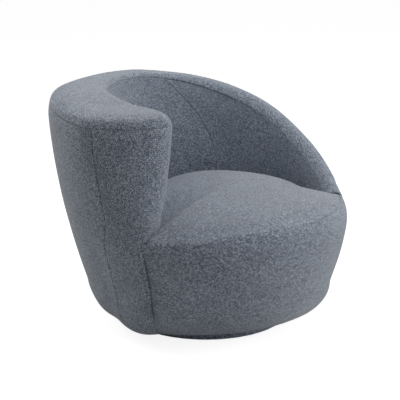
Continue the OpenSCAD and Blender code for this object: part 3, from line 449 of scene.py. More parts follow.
def rolled(run, width, depth):
    """Depth of a quarter-round lip at a distance from its seam"""
    t = np.clip(run / width, 0, 1)
    return depth * (1 - np.sqrt(np.maximum(0, 1 - (1 - t)**2)))


def waves(points, size, seed):
    """Slow smooth unevenness between -1 and 1, from a few crossed sine waves"""
    rng = np.random.default_rng(seed)
    total = 0
    for _ in range(7):
        way = rng.normal(size=3)
        way /= np.linalg.norm(way)
        total = total + np.sin(points @ way * 2 * np.pi / (size * rng.uniform(0.6, 1.5))
                               + rng.uniform(0, 2 * np.pi))
    return total / 7


def mesh_object(name, verts, faces, flat=None, smooth=True):
    """Object at the origin from points, faces and the flat cloth coordinates of the points"""
    mesh = bpy.data.meshes.new(name)
    mesh.from_pydata(np.asarray(verts).reshape(-1, 3).tolist(), [], [tuple(f) for f in faces])
    if flat is not None:
        layer = mesh.uv_layers.new(name="cloth")
        loops = np.empty(len(mesh.loops), dtype=np.int32)
        mesh.loops.foreach_get("vertex_index", loops)
        layer.data.foreach_set("uv", np.asarray(flat).reshape(-1, 2)[loops].ravel())
    if smooth:
        mesh.polygons.foreach_set("use_smooth", [True] * len(mesh.polygons))
    mesh.update()
    obj = bpy.data.objects.new(name, mesh)
    bpy.context.scene.collection.objects.link(obj)
    return obj


def grid_faces(n, m, keep=None, wrap=False):
    """Faces between n columns of m points, closed round where wrap says so"""
    i, j = np.meshgrid(np.arange(n if wrap else n - 1), np.arange(m - 1), indexing="ij")
    if keep is not None:
        i, j = i[keep], j[keep]
    i, j = i.ravel(), j.ravel()
    k = (i + 1) % n
    return np.stack([i * m + j, k * m + j, k * m + j + 1, i * m + j + 1], -1)


def edited(obj, change):
    """Runs a change on the faces and points of an object's mesh"""
    bm = bmesh.new()
    bm.from_mesh(obj.data)
    change(bm)
    bm.to_mesh(obj.data)
    bm.free()
    obj.data.update()


def drop_loose(bm):
    """Takes out points that no face uses, and merges points that coincide"""
    bmesh.ops.delete(bm, geom=[v for v in bm.verts if not v.link_faces], context="VERTS")
    bmesh.ops.remove_doubles(bm, verts=bm.verts, dist=1e-6)


def outwards(bm):
    """Turns all the faces of a closed mesh outwards"""
    bmesh.ops.recalc_face_normals(bm, faces=bm.faces)


def points_of(mesh):
    """Points of a mesh as an array"""
    points = np.empty(len(mesh.vertices) * 3)
    mesh.vertices.foreach_get("co", points)
    return points.reshape(-1, 3)


def padded_panel(name, grid, flat, thickness, keep=None, thin=None):
    """Closed slab under a sewn surface. Thin gives each point its share of the thickness."""
    obj = mesh_object(name, grid, grid_faces(grid.shape[0], grid.shape[1], keep), flat)
    if thin is not None:
        group = obj.vertex_groups.new(name="padding")
        levels = np.round(thin.ravel(), 2)
        for level in np.unique(levels):
            group.add(np.nonzero(levels == level)[0].tolist(), float(level), "REPLACE")
    edited(obj, drop_loose)
    solid = obj.modifiers.new("Padding", "SOLIDIFY")
    solid.thickness = thickness
    solid.offset = -1
    if thin is not None:
        solid.vertex_group = "padding"
    return obj


# Nodes

def add_node(tree, kind, settings=None, inputs=None):
    """Makes a node: its settings first, then the values or links of its sockets"""
    made = tree.nodes.new(kind)
    for key, value in (settings or {}).items():
        if key == "stops":
            ramp = made.color_ramp
            while len(ramp.elements) < len(value):
                ramp.elements.new(0.5)
            for element, (place, colour) in zip(ramp.elements, value):
                element.position = place
                element.color = (*colour, 1.0)
        else:
            setattr(made, key, value)
    for key, value in (inputs or {}).items():
        plug(tree, made.inputs[key], value)
    return made


def plug(tree, socket, value):
    """Links a socket to another one, or gives it a value"""
    value = value.socket if isinstance(value, Wire) else value
    if isinstance(value, bpy.types.NodeSocket):
        tree.links.new(value, socket)
    else:
        socket.default_value = value


class Wire:
    """One output of a material's node, with the arithmetic that the finishes use"""

    def __init__(self, finish, socket):
        self.finish, self.socket = finish, socket

    def _with(self, operation, a, b):
        return self.finish.node("ShaderNodeMath", {"operation": operation}, {0: a, 1: b})

    def __add__(self, other):
        return self._with("ADD", self, other)

    def __sub__(self, other):
        return self._with("SUBTRACT", self, other)

    def __rsub__(self, other):
        return self._with("SUBTRACT", other, self)

    def __mul__(self, other):
        return self._with("MULTIPLY", self, other)

    def __pow__(self, other):
        return self._with("POWER", self, other)

    __radd__, __rmul__ = __add__, __mul__

    def sine(self):
        return self.finish.node("ShaderNodeMath", {"operation": "SINE"}, {0: self})


class Finish:
    """Node tree of one procedural material around a Principled shader"""

    def __init__(self, name, **constants):
        self.material = bpy.data.materials.new(name)
        self.material.use_nodes = True
        self.tree = self.material.node_tree
        self.tree.nodes.clear()
        self.surface = add_node(self.tree, "ShaderNodeBsdfPrincipled")
        self.output = add_node(self.tree, "ShaderNodeOutputMaterial", {}, {0: self.surface.outputs[0]})
        for key, value in constants.items():
            label = key.replace("_", " ").title().replace("Ior", "IOR")
            self.surface.inputs[label].default_value = value

    def node(self, kind, settings=None, inputs=None, output=0):
        return Wire(self, add_node(self.tree, kind, settings, inputs).outputs[output])

    def blend(self, factor, a, b):
        """Mix of two colours"""
        a, b = (value if isinstance(value, Wire) else (*value, 1.0) for value in (a, b))
        return self.node("ShaderNodeMix", {"data_type": "RGBA", "clamp_factor": True},
                         {0: factor, 6: a, 7: b}, 2)

    def place(self, scale=(1, 1, 1), turn=(0, 0, 0), cloth=None):
        """Coordinates in metres: Object ones, or the flat ones of a sewn panel"""
        start = (self.node("ShaderNodeUVMap", {"uv_map": cloth}) if cloth
                 else self.node("ShaderNodeTexCoord", output="Object"))
        return self.node("ShaderNodeMapping", {}, {"Vector": start, "Rotation": turn, "Scale": scale})

    def noise(self, where, scale, detail=2.0, rough=0.5, stretch=None, flat=False):
        if stretch:
            where = self.node("ShaderNodeMapping", {}, {"Vector": where, "Scale": stretch})
        return self.node("ShaderNodeTexNoise", {"noise_dimensions": "2D" if flat else "3D"},
                         {"Vector": where, "Scale": scale, "Detail": detail, "Roughness": rough})

    def bands(self, where, scale, way, **more):
        return self.node("ShaderNodeTexWave", {"wave_type": "BANDS", "bands_direction": way},
                         {"Vector": where, "Scale": scale, **more}, "Fac")

    def cells(self, where, scale, output="Distance", **more):
        return self.node("ShaderNodeTexVoronoi", {}, {"Vector": where, "Scale": scale, **more}, output)

    def ramp(self, value, stops):
        return self.node("ShaderNodeValToRGB", {"stops": stops}, {0: value})

    def done(self, colour, height, relief, strength, roughness=None):
        """Plugs in the colour, the fine relief and the roughness"""
        normal = self.node("ShaderNodeBump", {},
                           {"Height": height, "Distance": relief, "Strength": strength})
        for key, value in (("Base Color", colour), ("Normal", normal), ("Roughness", roughness)):
            if value is not None:
                plug(self.tree, self.surface.inputs[key], value)
        return self.material


def scaled(colour, by):
    return tuple(min(1.0, channel * by) for channel in colour)


def mixed(one, other, share):
    return tuple(a + (b - a) * share for a, b in zip(one, other))


def tones(colour, *stops):
    """Ramp stops from pairs of a place and a brightness of one colour"""
    return [(place, scaled(colour, by)) for place, by in stops]


def tweed(name, look, turn=0.0):
    """Chenille tweed: staggered rows of short slubs with painted shade in the hollows between them,
    painted light on the lifted yarns, and fine loose fibres
    """
    f = Finish(name, roughness=0.94, sheen_weight=look.sheen, sheen_roughness=0.5,
               specular_ior_level=0.12)
    flat = f.place(turn=(0, 0, math.radians(turn)), cloth="cloth")
    drift = f.node("ShaderNodeTexNoise", {}, {"Vector": flat, "Scale": 190.0, "Detail": 1.0}, "Color")
    shift = f.node("ShaderNodeVectorMath", {"operation": "SCALE"}, {0: drift, "Scale": 0.0012})
    wander = f.node("ShaderNodeVectorMath", {"operation": "ADD"}, {0: flat, 1: shift})
    along, up = (f.node("ShaderNodeSeparateXYZ", {}, {0: wander}, way) for way in "XY")
    rows = f.node("ShaderNodeCombineXYZ", {},
                  {"X": along * (1 / look.slub_l), "Y": up * (1 / look.slub_w)})
    over = (along * (math.pi / look.weave_l)).sine() * (up * (math.pi / look.weave_w)).sine()
    slub = add_node(f.tree, "ShaderNodeTexVoronoi", {"voronoi_dimensions": "2D"},
                    {"Vector": rows, "Scale": 1.0, "Randomness": look.loose})
    pick = f.node("ShaderNodeSeparateColor", {}, {0: slub.outputs["Color"]})
    hollow = Wire(f, slub.outputs["Distance"])
    yarn = f.ramp(pick, [
        (0.0, look.dark), (0.25, mixed(look.dark, look.middle, 0.6)), (0.45, look.middle),
        (0.68, mixed(look.middle, look.light, 0.3)), (0.88, mixed(look.middle, look.light, 0.75)),
        (1.0, look.light)])
    fine = f.node("ShaderNodeMapping", {},
                  {"Vector": wander, "Scale": (1 / look.fibre, 1.4 / look.fibre, 1)})
    fibre = f.noise(fine, 1.0, flat=True)
    body = f.noise(flat, 60.0, 3.0, flat=True)
    field = f.noise(flat, 11.0, flat=True)
    # Random mottling from the fibre, body and field noise, times painted shade that darkens the
    # hollows between the slubs
    mottle_and_painted_shading = (0.74 + 0.46 * fibre + 0.10 * body + 0.20 * field) * (1.12 - 0.42 * hollow)
    # Painted light and shade: the lifted yarns of the weave are made lighter and the sunken ones
    # darker
    mottle_and_painted_shading = mottle_and_painted_shading * (1 + look.weave * over)
    colour = f.node("ShaderNodeVectorMath", {"operation": "SCALE"}, {0: yarn, "Scale": mottle_and_painted_shading})
    height = (1 - hollow * hollow * 1.3) + fibre * 0.4 + over * 0.35
    return f.done(colour, height, look.relief, 0.8)


def wood(name, colour):
    """Wood with grain lines along Z, pores and a duller end of each line"""
    f = Finish(name, roughness=0.6)
    at = f.place(scale=(1, 1, 0.12))
    pore = f.noise(at, 900.0, 2.0, 0.6)
    grain = f.noise(at, 100.0, 4.0, 0.65) * 0.7 + f.noise(at, 9.0) * 0.3
    colour = f.ramp(grain, tones(colour, (0.30, 0.62), (0.47, 0.9), (0.58, 1), (0.75, 1.22)))
    return f.done(colour, grain + pore * 0.4, 0.0004, 0.5, 0.5 + 0.25 * pore)


def plywood(name, colour):
    """Plywood: a flecked face, and thin dark glue lines between the plies on its edge"""
    f = Finish(name, roughness=0.62)
    at = f.place(scale=(1, 0.16, 1))
    face, fleck = f.noise(at, 70.0, 4.0, 0.6), f.noise(at, 420.0, 2.0, 0.6)
    layer = f.bands(f.place(), 105.0, "Z", Distortion=0.15, Detail=1.0)
    base = f.ramp(face, tones(colour, (0.3, 0.66), (0.5, 1), (0.72, 1.2)))
    plies = f.blend((1 - layer)**4 * 0.5, base, scaled(colour, 0.3))
    flecked = f.blend(fleck**3 * 0.8, plies, scaled(colour, 0.5))
    return f.done(flecked, face + fleck * 0.5, 0.0003, 0.5, 0.5 + 0.3 * fleck)


def hardboard(name, colour):
    """Pressed fibre board: short dark and light fibres in all ways"""
    f = Finish(name, roughness=0.7)
    at = f.place()
    fibre = f.noise(at, 700.0, 3.0, 0.7)
    colour = f.ramp(fibre * 0.7 + f.noise(at, 40.0) * 0.3,
                    tones(colour, (0.25, 0.55), (0.5, 1), (0.78, 1.7)))
    return f.done(colour, fibre, 0.0003, 0.5, 0.55 + 0.3 * fibre)


def steel(name, colour, brushed=False, spotted=0.0):
    """Plated steel with fine drawing lines, and the crystal spots of zinc where asked"""
    f = Finish(name, metallic=1.0, roughness=0.35)
    at = f.place()
    line = f.noise(at, 260.0, 3.0, 0.6, (1, 0.04, 1) if brushed else None)
    grey = f.node("ShaderNodeSeparateColor", {}, {0: f.cells(at, 130.0, "Color")})
    smear = f.noise(at, 24.0)
    base = f.blend(line * 0.5, scaled(colour, 0.78), scaled(colour, 1.08))
    colour = f.blend(grey * spotted, base, scaled(colour, 1.35))
    return f.done(colour, line, 0.00008, 0.6, 0.22 + 0.18 * line + 0.14 * smear)


def plastic(name, colour, rough=0.42):
    """Moulded plastic with a fine spark texture and slight handling marks"""
    f = Finish(name, roughness=rough)
    at = f.place()
    mark = f.noise(at, 60.0, 3.0)
    colour = f.blend(mark * 0.5, scaled(colour, 0.86), scaled(colour, 1.15))
    return f.done(colour, f.noise(at, 1500.0), 0.0001, 0.5, rough - 0.08 + 0.2 * mark)


def webbing_cloth(name, colour):
    """Elastic webbing: a plain weave of round cords"""
    f = Finish(name, roughness=0.85, sheen_weight=0.15)
    at = f.place()
    weave = f.bands(at, 420.0, "X") * f.bands(at, 420.0, "Y")
    colour = f.blend(weave * 0.6 + f.noise(at, 90.0) * 0.3, scaled(colour, 0.6), scaled(colour, 2.2))
    return f.done(colour, weave, 0.0005, 0.7)


def felted_cloth(name, colour):
    """Non-woven dust cloth: bonded fibres and a grid of small weld points"""
    f = Finish(name, roughness=0.9)
    at = f.place()
    fibre = f.noise(at, 520.0, 3.0, 0.7, (1, 0.5, 1))
    colour = f.blend(fibre, scaled(colour, 0.6), scaled(colour, 3.2))
    return f.done(colour, fibre * 0.5 + f.cells(at, 420.0, Randomness=0.0) * 0.5, 0.0003, 0.6)


def open_foam(name, colour):
    """Cut foam: small open cells of uneven size"""
    f = Finish(name, roughness=0.95)
    at = f.place()
    cell = f.cells(at, 620.0)
    colour = f.blend(cell * 0.7 + f.noise(at, 30.0) * 0.2, scaled(colour, 0.7), scaled(colour, 1.1))
    return f.done(colour, cell, 0.0006, 0.7)


def thread(name, colour):
    """Twisted sewing thread"""
    f = Finish(name, roughness=0.6, sheen_weight=0.2)
    ply = f.bands(f.place(), 900.0, "DIAGONAL")
    return f.done(f.blend(ply, scaled(colour, 0.6), scaled(colour, 1.5)), ply, 0.0002, 0.6)


# Panels of the body

def body_of(context):
    return Winding(context.scene.armchair_form)


def outer_profile(w, radius_at, foot, top):
    """Fine line up one column: the stapled hem, the rolled foot, and the wall to its seam.
    radius_at(z) gives the plan point of the wall at a height."""
    f = w.f
    on_roll, on_hem, on_wall = 34, 6, 70
    hem_r, rise, square = foot
    base = f.floor_gap + rise
    share = 1 - np.cos(np.linspace(0, np.pi / 2, on_roll))
    wall = radius_at(np.full(on_roll, base))
    r = np.linalg.norm(wall, axis=1)
    roll_r = hem_r + (r - hem_r) * (1 - (1 - share)**square)**(1 / square)
    roll = np.concatenate([wall / r[:, None] * roll_r[:, None],
                           (f.floor_gap + rise * share)[:, None]], 1)
    under_r = np.linspace(w.hem_r, roll_r[0], on_hem)[:-1]
    hem = np.concatenate([wall[:1] / r[0] * under_r[:, None],
                          np.full((on_hem - 1, 1), f.floor_gap - HEM_SINK)], 1)
    z = np.linspace(base, top, on_wall)[1:]
    up = np.concatenate([radius_at(z), z[:, None]], 1)
    line = np.concatenate([hem, roll, up])
    line[on_hem - 1:2 * on_hem - 1, 2] -= HEM_SINK * np.linspace(1, 0, on_hem)
    return line


def wall_grid(w, qs, pitch):
    """Outer wall over the columns qs, with close rows under its top seam"""
    lines = [outer_profile(w, lambda z, q=q: w.plan(np.full_like(z, q), z), w.shell_foot(q),
                           float(w.seam_top(q))) for q in qs]
    return lines_to_grid(lines, pitch)


def lines_to_grid(lines, pitch=PITCH):
    """Grid whose columns are the given lines, with rows that keep their distance from the top"""
    span = max(arc_lengths(line)[-1] for line in lines)
    places = steps(0, span, pitch, fine_end=True)
    grid = []
    for line in lines:
        run = arc_lengths(line)
        near_end = span - places < NEAR_SEAM
        place = np.where(near_end, run[-1] - (span - places),
                         places / (span - NEAR_SEAM) * (run[-1] - NEAR_SEAM))
        grid.append(np.stack([np.interp(place, run, line[:, k]) for k in range(3)], -1))
    return np.array(grid)


def inflated(obj, voxel, pressure, frames, cap):
    """Blows up a remeshed copy of a closed form as cloth, and returns where its points start and
    how far each one moves"""
    copy = bpy.data.objects.new("inflated_copy", obj.data.copy())
    bpy.context.scene.collection.objects.link(copy)
    remesh = copy.modifiers.new("Remesh", "REMESH")
    remesh.mode, remesh.voxel_size = "VOXEL", voxel
    graph = bpy.context.evaluated_depsgraph_get()
    mesh = bpy.data.meshes.new_from_object(copy.evaluated_get(graph))
    copy.modifiers.clear()
    copy.data = mesh
    cloth = copy.modifiers.new("Cloth", "CLOTH")
    settings = cloth.settings
    settings.quality, settings.mass = 5, 0.35
    settings.use_pressure, settings.uniform_pressure_force = True, pressure
    settings.effector_weights.gravity = 0.0
    cloth.point_cache.frame_start, cloth.point_cache.frame_end = 1, frames
    scene = bpy.context.scene
    for step in range(1, frames + 1):
        scene.frame_set(step)
    graph = bpy.context.evaluated_depsgraph_get()
    blown = bpy.data.meshes.new_from_object(copy.evaluated_get(graph))
    start = points_of(mesh)
    move = points_of(blown) - start
    scene.frame_set(1)
    copy.modifiers.clear()
    bpy.data.objects.remove(copy)
    move -= move.mean(axis=0)
    size = np.linalg.norm(move, axis=1, keepdims=True)
    return start, move * np.minimum(1, cap / np.maximum(size, 1e-9))


def carried(points, start, move):
    """Moves of the given points, from the nearest points of a simulated copy"""
    neighbours, blur = 6, 0.002
    tree = kdtree.KDTree(len(start))
    for k, place in enumerate(start):
        tree.insert(place, k)
    tree.balance()
    out = np.zeros_like(points)
    for k, place in enumerate(points):
        near = tree.find_n(place, neighbours)
        weight = np.array([1 / (distance + blur) for _, _, distance in near])
        out[k] = (move[[index for _, index, _ in near]] * weight[:, None]).sum(axis=0) / weight.sum()
    return out


def finish_panel(obj, material, body="chair", nodes=()):
    """Gives a panel its material, hides the nodes that it stands for, and sets it on the body that it
    rides
    """
    obj.data.materials.clear()
    obj.data.materials.append(material)
    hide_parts(*nodes)
    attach(obj, body)
    return obj


def sewn(w, grid, seams, seed, swell=0.0, top=None, uneven=0.0007):
    """Rolls a panel's sewn edges in, and gives it a slight fullness and unevenness"""
    f = w.f
    sides = edge_runs(grid, **seams)
    up = edge_runs(grid, v1=True)
    run = np.minimum(sides, up)
    groove = np.maximum(rolled(sides, f.seam_w, f.seam_d),
                        rolled(up, f.seam_w, f.seam_d) * (f.top_seam if top is None else top))
    out = swell * ease(run, 0.0, 0.10) - groove
    out = out + uneven * waves(grid, size=0.13, seed=seed) * ease(run, 0.0, 0.05)
    return grid + normals_of(grid) * out[..., None]


class ARMCHAIR_OT_outer_shell(bpy.types.Operator):
    """Outer shell: one panel from the low tail round the back to the arm's front seam"""
    bl_idname = "armchair.outer_shell"
    bl_label = "Outer shell"

    def execute(self, context):
        w = body_of(context)
        # Radius at which the columns are spaced, and the close columns before the arm front's seam
        mean_r = 0.42
        front = np.array([0.04, 0.08, 0.115, 0.135, 0.1445, 0.150, 0.154, 0.1568, 0.1588, SEAM_Q])
        laps = steps(0, math.radians(TAIL_LAP) * mean_r, PITCH, fine_start=True)
        qs = -np.degrees(laps[::-1] / mean_r)
        qs = TAIL_LAP * -1 + (qs - qs[0])
        grid = wall_grid(w, np.concatenate([qs[qs < -0.2], [0.0], front]), 0.008)
        flat = cloth_map(grid)
        grid = sewn(w, grid, BOTH_ENDS, seed=3)
        obj = padded_panel("outer_shell_panel", grid, flat, thickness=0.0055)
        finish_panel(obj, tweed("tweed_outer_shell", context.scene.armchair_tweed, turn=62.0),
                     nodes=("shell_cover", "shell_wadding"))
        return {"FINISHED"}


class ARMCHAIR_OT_arm_front(bpy.types.Operator):
    """Arm front: the panel round the head of the arm, whose edge stands proud at the crease"""
    bl_idname = "armchair.arm_front"
    bl_label = "Arm front"

    def execute(self, context):
        w = body_of(context)
        # Columns from the outer seam to the crease and beyond it, close at both
        low = np.array([SEAM_Q, 0.1612, 0.1632, 0.166, 0.170, 0.1755, 0.185, 0.20])
        toward = np.concatenate([low, np.arange(0.22, 0.56, 0.0155), np.array(
            [0.565, 0.574, 0.581, 0.587, 0.592, 0.596, 0.5985, CREASE_Q])])
        beyond = np.concatenate([np.array([0.615, 0.63, 0.65]), np.arange(0.67, 1.0, 0.02),
                                 np.arange(1.0, 2.0, 0.045), [1.97, 1.985, 1.994, 2.0]])
        qs = np.concatenate([toward, beyond])
        last = len(toward) - 1
        grid = wall_grid(w, qs, PITCH)
        flat = cloth_map(grid)
        # Past the crease the panel ends a little over the padding's foot, under the seat
        tuck_w, tuck_d, overlap = 0.016, 0.013, 0.006
        inside = np.arange(len(qs) - 1)[:, None] >= last
        keep = ~(inside & (grid[:-1, 1:, 2] < PADDING_Z + overlap))
        shown = sewn(w, grid, BOTH_ENDS, seed=5)
        crease = np.linalg.norm(np.diff(grid[:last + 1], axis=0), axis=2)
        run = np.concatenate([np.cumsum(crease[::-1], axis=0)[::-1], np.zeros((1, grid.shape[1]))])
        tuck = rolled(run, tuck_w, tuck_d) * (1 - ease(grid[:last + 1, :, 2], 0.285, 0.345))
        shown[:last + 1] -= normals_of(grid)[:last + 1] * tuck[..., None]
        obj = padded_panel("arm_front_panel", shown, flat, thickness=0.009, keep=keep)
        finish_panel(obj, tweed("tweed_arm_front", context.scene.armchair_tweed, turn=76.0),
                     nodes=("arm_front_cover", "arm_front_foam"))
        return {"FINISHED"}


def distance_from(points, line):
    """Plan distance of every point from a line of points"""
    a, b = line[:-1], line[1:]
    seg = b - a
    flat = points.reshape(-1, 2)
    far = np.empty(len(flat))
    for k in range(0, len(flat), 800):
        p = flat[k:k + 800, None]
        t = np.clip(((p - a) * seg).sum(-1) / np.maximum((seg**2).sum(-1), 1e-12), 0, 1)
        far[k:k + 800] = np.linalg.norm(p - (a + t[..., None] * seg), axis=-1).min(axis=1)
    return far.reshape(points.shape[:2])


def bent_edge(share):
    """Height of a rounded edge that starts 15 degrees off upright, from 0 at its seam to 1"""
    lean = math.radians(15)
    x = (1 - math.cos(lean)) + math.cos(lean) * np.clip(share, 0, 1)
    return (np.sqrt(np.maximum(0, 1 - (1 - x)**2)) - math.sin(lean)) / (1 - math.sin(lean))


def top_columns():
    """Pairs of outer and inner places across the arm and back, from the tail to the tip"""
    head_lap = 12
    laps = np.concatenate([np.arange(TAIL_LAP, head_lap, -1.1), [float(head_lap)]])
    outer_head = np.array([0, 0.25, 0.45, 0.64, 0.8, 0.9, 0.96, 1.0])
    inner_head = np.array([2, 1.8, 1.6, 1.42, 1.26, 1.13, 1.05, 1.0])
    low = np.linspace(head_lap, 0, 12)[1:]
    fine = np.concatenate([np.linspace(0, 0.9, 46)[1:], np.linspace(0.9, 1.0, 14)[1:]])
    outer = np.concatenate([-laps, -low, fine])
    inner = np.concatenate([inner_place(laps), 2 + low / head_lap * 4,
                            np.interp(fine, outer_head, inner_head)])
    return outer, inner


class ARMCHAIR_OT_top_panel(bpy.types.Operator):
    """Top panel: the wide strip over the arm and back, which narrows and sinks to the seat"""
    bl_idname = "armchair.top_panel"
    bl_label = "Top panel"

    def execute(self, context):
        w = body_of(context)
        f = w.f
        outer_q, inner_q = top_columns()
        rim = w.rim_z(w.lap_of(outer_q))
        drop_o, drop_i = (np.maximum(0.0005, w.drop(q)) for q in (outer_q, inner_q))
        o, i = w.plan(outer_q, rim - drop_o), w.plan(inner_q, rim - drop_i)
        width = np.linalg.norm(i - o, axis=1)
        close = np.concatenate([SEAM_ROWS, [0.009, 0.013, 0.018, 0.024]])
        close_share, on_middle = 0.36, 22
        shares = []
        for span in width:
            near = np.minimum(close, span * np.linspace(0, close_share, len(close)))
            middle = np.linspace(near[-1], span - near[-1], on_middle)[1:-1]
            shares.append(np.concatenate([near, middle, span - near[::-1]]) / max(span, 1e-9))
        plan = mix(o[:, None], i[:, None], np.array(shares)[..., None])
        far_o, far_i = distance_from(plan, o), distance_from(plan, i)
        drop_o, drop_i = drop_o[:, None], drop_i[:, None]
        # The outer edge falls in two parts: a wide gentle one and a round one at the seam
        gentle, wide = 0.40, np.clip(0.45 * width, 0.001, 0.060)[:, None]
        low_o = (gentle * (1 - np.clip(far_o / wide, 0, 1))**2
                 + (1 - gentle) * (1 - bent_edge(far_o / (drop_o * f.top_square))))
        low_i = 1 - bent_edge(far_i / (drop_i * 1.15))
        far = np.minimum(far_o, far_i)
        half = np.maximum(0.01, width / 2)[:, None]
        crown = f.top_crown * (1 - (1 - np.clip(far / half, 0, 1))**2) * ease(far, 0.0, 0.05)
        z = (rim[:, None] - drop_o * low_o - drop_i * low_i
             + np.minimum(drop_o, drop_i) * low_o * low_i + crown)
        grid = np.concatenate([plan, z[..., None]], -1)
        flat = cloth_map(grid)
        up = flat[..., 1]
        out = -rolled(np.minimum(up, up[:, -1:] - up), f.seam_w, f.seam_d) * f.top_seam
        out = out + 0.0007 * waves(grid, size=0.12, seed=9) * ease(far, 0.0, 0.05)
        flat[..., 0] = -flat[..., 0]
        normal = normals_of(grid)
        normal[-1] = (0, 0, 1)
        grid = grid + normal * out[..., None]
        obj = padded_panel("top_panel", grid, flat, thickness=0.004)
        finish_panel(obj, tweed("tweed_top", context.scene.armchair_tweed, turn=28.0),
                     nodes=("top_cover", "top_foam"))
        return {"FINISHED"}


class ARMCHAIR_OT_inner_back(bpy.types.Operator):
    """Inner back: two panels joined by a leaning seam, full between their edges"""
    bl_idname = "armchair.inner_back"
    bl_label = "Inner back"

    def execute(self, context):
        w = body_of(context)
        on_height, overlap = 90, 0.008
        # First guess of the seam's lap, then the span, grain and seed of each panel
        for name, left, guess, span, turn, seed, nodes in (
                ("inner_back_left", True, 115, 0.62, 50.0, 12,
                 ("inner_cover_left", "inner_foam_left")),
                ("inner_back_right", False, 130, 0.60, 20.0, 11,
                 ("inner_cover_right", "inner_foam_right"))):

            def lap_at(share, seam):
                return mix(INNER_LAP, seam, share) if left else mix(seam, TAIL_LAP, share)

            lines = []
            for share in steps(0, span, PITCH, fine_start=True, fine_end=True) / span:
                lap = np.full(on_height, lap_at(share, guess))
                for _ in range(3):
                    top = w.seam_top(inner_place(lap))
                    low = np.minimum(PADDING_Z, top - overlap)
                    height = mix(low, top, np.linspace(0, 1, on_height))
                    lap = lap_at(share, w.seam_lap(height))
                lines.append(np.concatenate([w.plan(inner_place(lap), height), height[:, None]], 1))
            grid = lines_to_grid(lines)
            flat = cloth_map(grid)
            up = ease(grid[..., 2], w.arm_low_z - 0.02, w.arm_low_z + 0.10)
            grid = sewn(w, grid, BOTH_ENDS, seed, swell=w.f.swell * up)
            # The right panel grows thin towards the tail
            along = np.linspace(0, 0 if left else 1, len(grid))[:, None]
            thin = mix(1.0, 0.35, ease(along + np.zeros(grid.shape[:2]), 0.3, 1.0))
            obj = padded_panel(name, grid, flat, thickness=0.012, thin=thin)
            finish_panel(obj, tweed("tweed_" + name, context.scene.armchair_tweed, turn),
                         nodes=nodes)
        return {"FINISHED"}


class ARMCHAIR_OT_front_band(bpy.types.Operator):
    """Front band: the deep round panel under the seat, tucked behind the arm at the crease"""
    bl_idname = "armchair.front_band"
    bl_label = "Front band"

    def execute(self, context):
        w = body_of(context)
        f = w.f
        # Radius at which the columns are spaced, degrees that the band reaches in behind the arm,
        # and the depth of its tuck there
        mean_r, behind_arm, tuck_d = 0.41, 0.7, 0.011
        span = math.radians(w.tail_bearing - f.crease_bearing) * mean_r
        lines = [outer_profile(
            w, lambda z, s=share: polar(w.band_at(z, s),
                                        mix(w.crease_line(z) - behind_arm, w.tail_bearing, s)),
            w.band_foot(share), float(w.seat_seam(share)))
            for share in steps(0, span, PITCH, fine_start=True, fine_end=True) / span]
        grid = lines_to_grid(lines)
        flat = cloth_map(grid)
        flat[..., 0] += 0.3
        side, z = edge_runs(grid, u0=True), grid[..., 2]
        tuck = (tuck_d * (1 - ease(side, 0.002, 0.045)) * (1 - ease(z, 0.27, 0.325))
                * ease(z, 0.05, 0.13))
        faint = mix(0.25, 1.0, ease(side, 0.10, 0.42))
        shown = sewn(w, grid, BOTH_ENDS, seed=15, top=faint) - normals_of(grid) * tuck[..., None]
        obj = padded_panel("front_band_panel", shown, flat, thickness=0.006,
                           thin=np.where(z > 0.315, 0.3, 1.0))
        finish_panel(obj, tweed("tweed_front_band", context.scene.armchair_tweed, 0.0),
                     nodes=("front_cover", "front_foam"))
        return {"FINISHED"}


def seat_outline(w, count=360):
    """Closed plan line of the seat: the front arc, the arm head, the inner back. Also gives how
    far the surface drops at each place, and which form it has there."""
    f = w.f
    z = f.seam_h
    on_front, on_head, on_wall, gap = 120, 90, 200, 0.0012
    share = np.linspace(1, 0, on_front)
    front = polar(w.band_at(w.seat_seam(share), share) - 0.0005,
                  np.linspace(w.tail_bearing - 0.6, f.crease_bearing + 1.2, on_front))
    head = w.plan(np.linspace(0.66, 2.0, on_head), z)
    way = unit(np.gradient(head, axis=0))
    head = head + gap * np.stack([way[:, 1], -way[:, 0]], -1)
    laps = np.linspace(INNER_LAP + 2, TAIL_LAP - 1, on_wall)
    past_arm = ease(laps, INNER_LAP, INNER_LAP + 12)
    wall = polar(w.inner_r(laps, z) - (0.003 * past_arm + gap * (1 - past_arm)),
                 f.head_bearing - laps)
    line = np.concatenate([front, head, wall])
    loop = np.concatenate([line, line[:1]])
    run = arc_lengths(loop)
    front_run = run[on_front - 1]
    even = np.linspace(0, run[-1], count, endpoint=False)
    points = np.stack([np.interp(even, run, loop[:, k]) for k in range(2)], -1)
    smoothings = 2
    for _ in range(smoothings):
        points = (np.roll(points, 1, axis=0) + 2 * points + np.roll(points, -1, axis=0)) / 4
    # How far each place is past the crease, before the tail's end, and behind the arm
    past = ease(even, front_run - 0.015, front_run + 0.36)
    before = ease(even, run[-1] - f.tail_run, run[-1] + 0.02)
    behind = ease(even, front_run + 0.52, front_run + 0.92)
    tucked = past * (1 - before)
    share = np.clip((front_run - even) / front_run, 0, 1)
    drop = mix(f.seat_h - w.seat_seam(share), mix(f.arm_tuck, f.back_tuck, behind), tucked)
    near_end = 1 - ease(np.minimum(even, run[-1] - even), 0.02, 0.26)
    return points, {"drop": drop, "front": 1 - tucked, "behind": behind, "near_end": near_end,
                    "plain_seam": ease(front_run - even, 0.10, 0.42)}


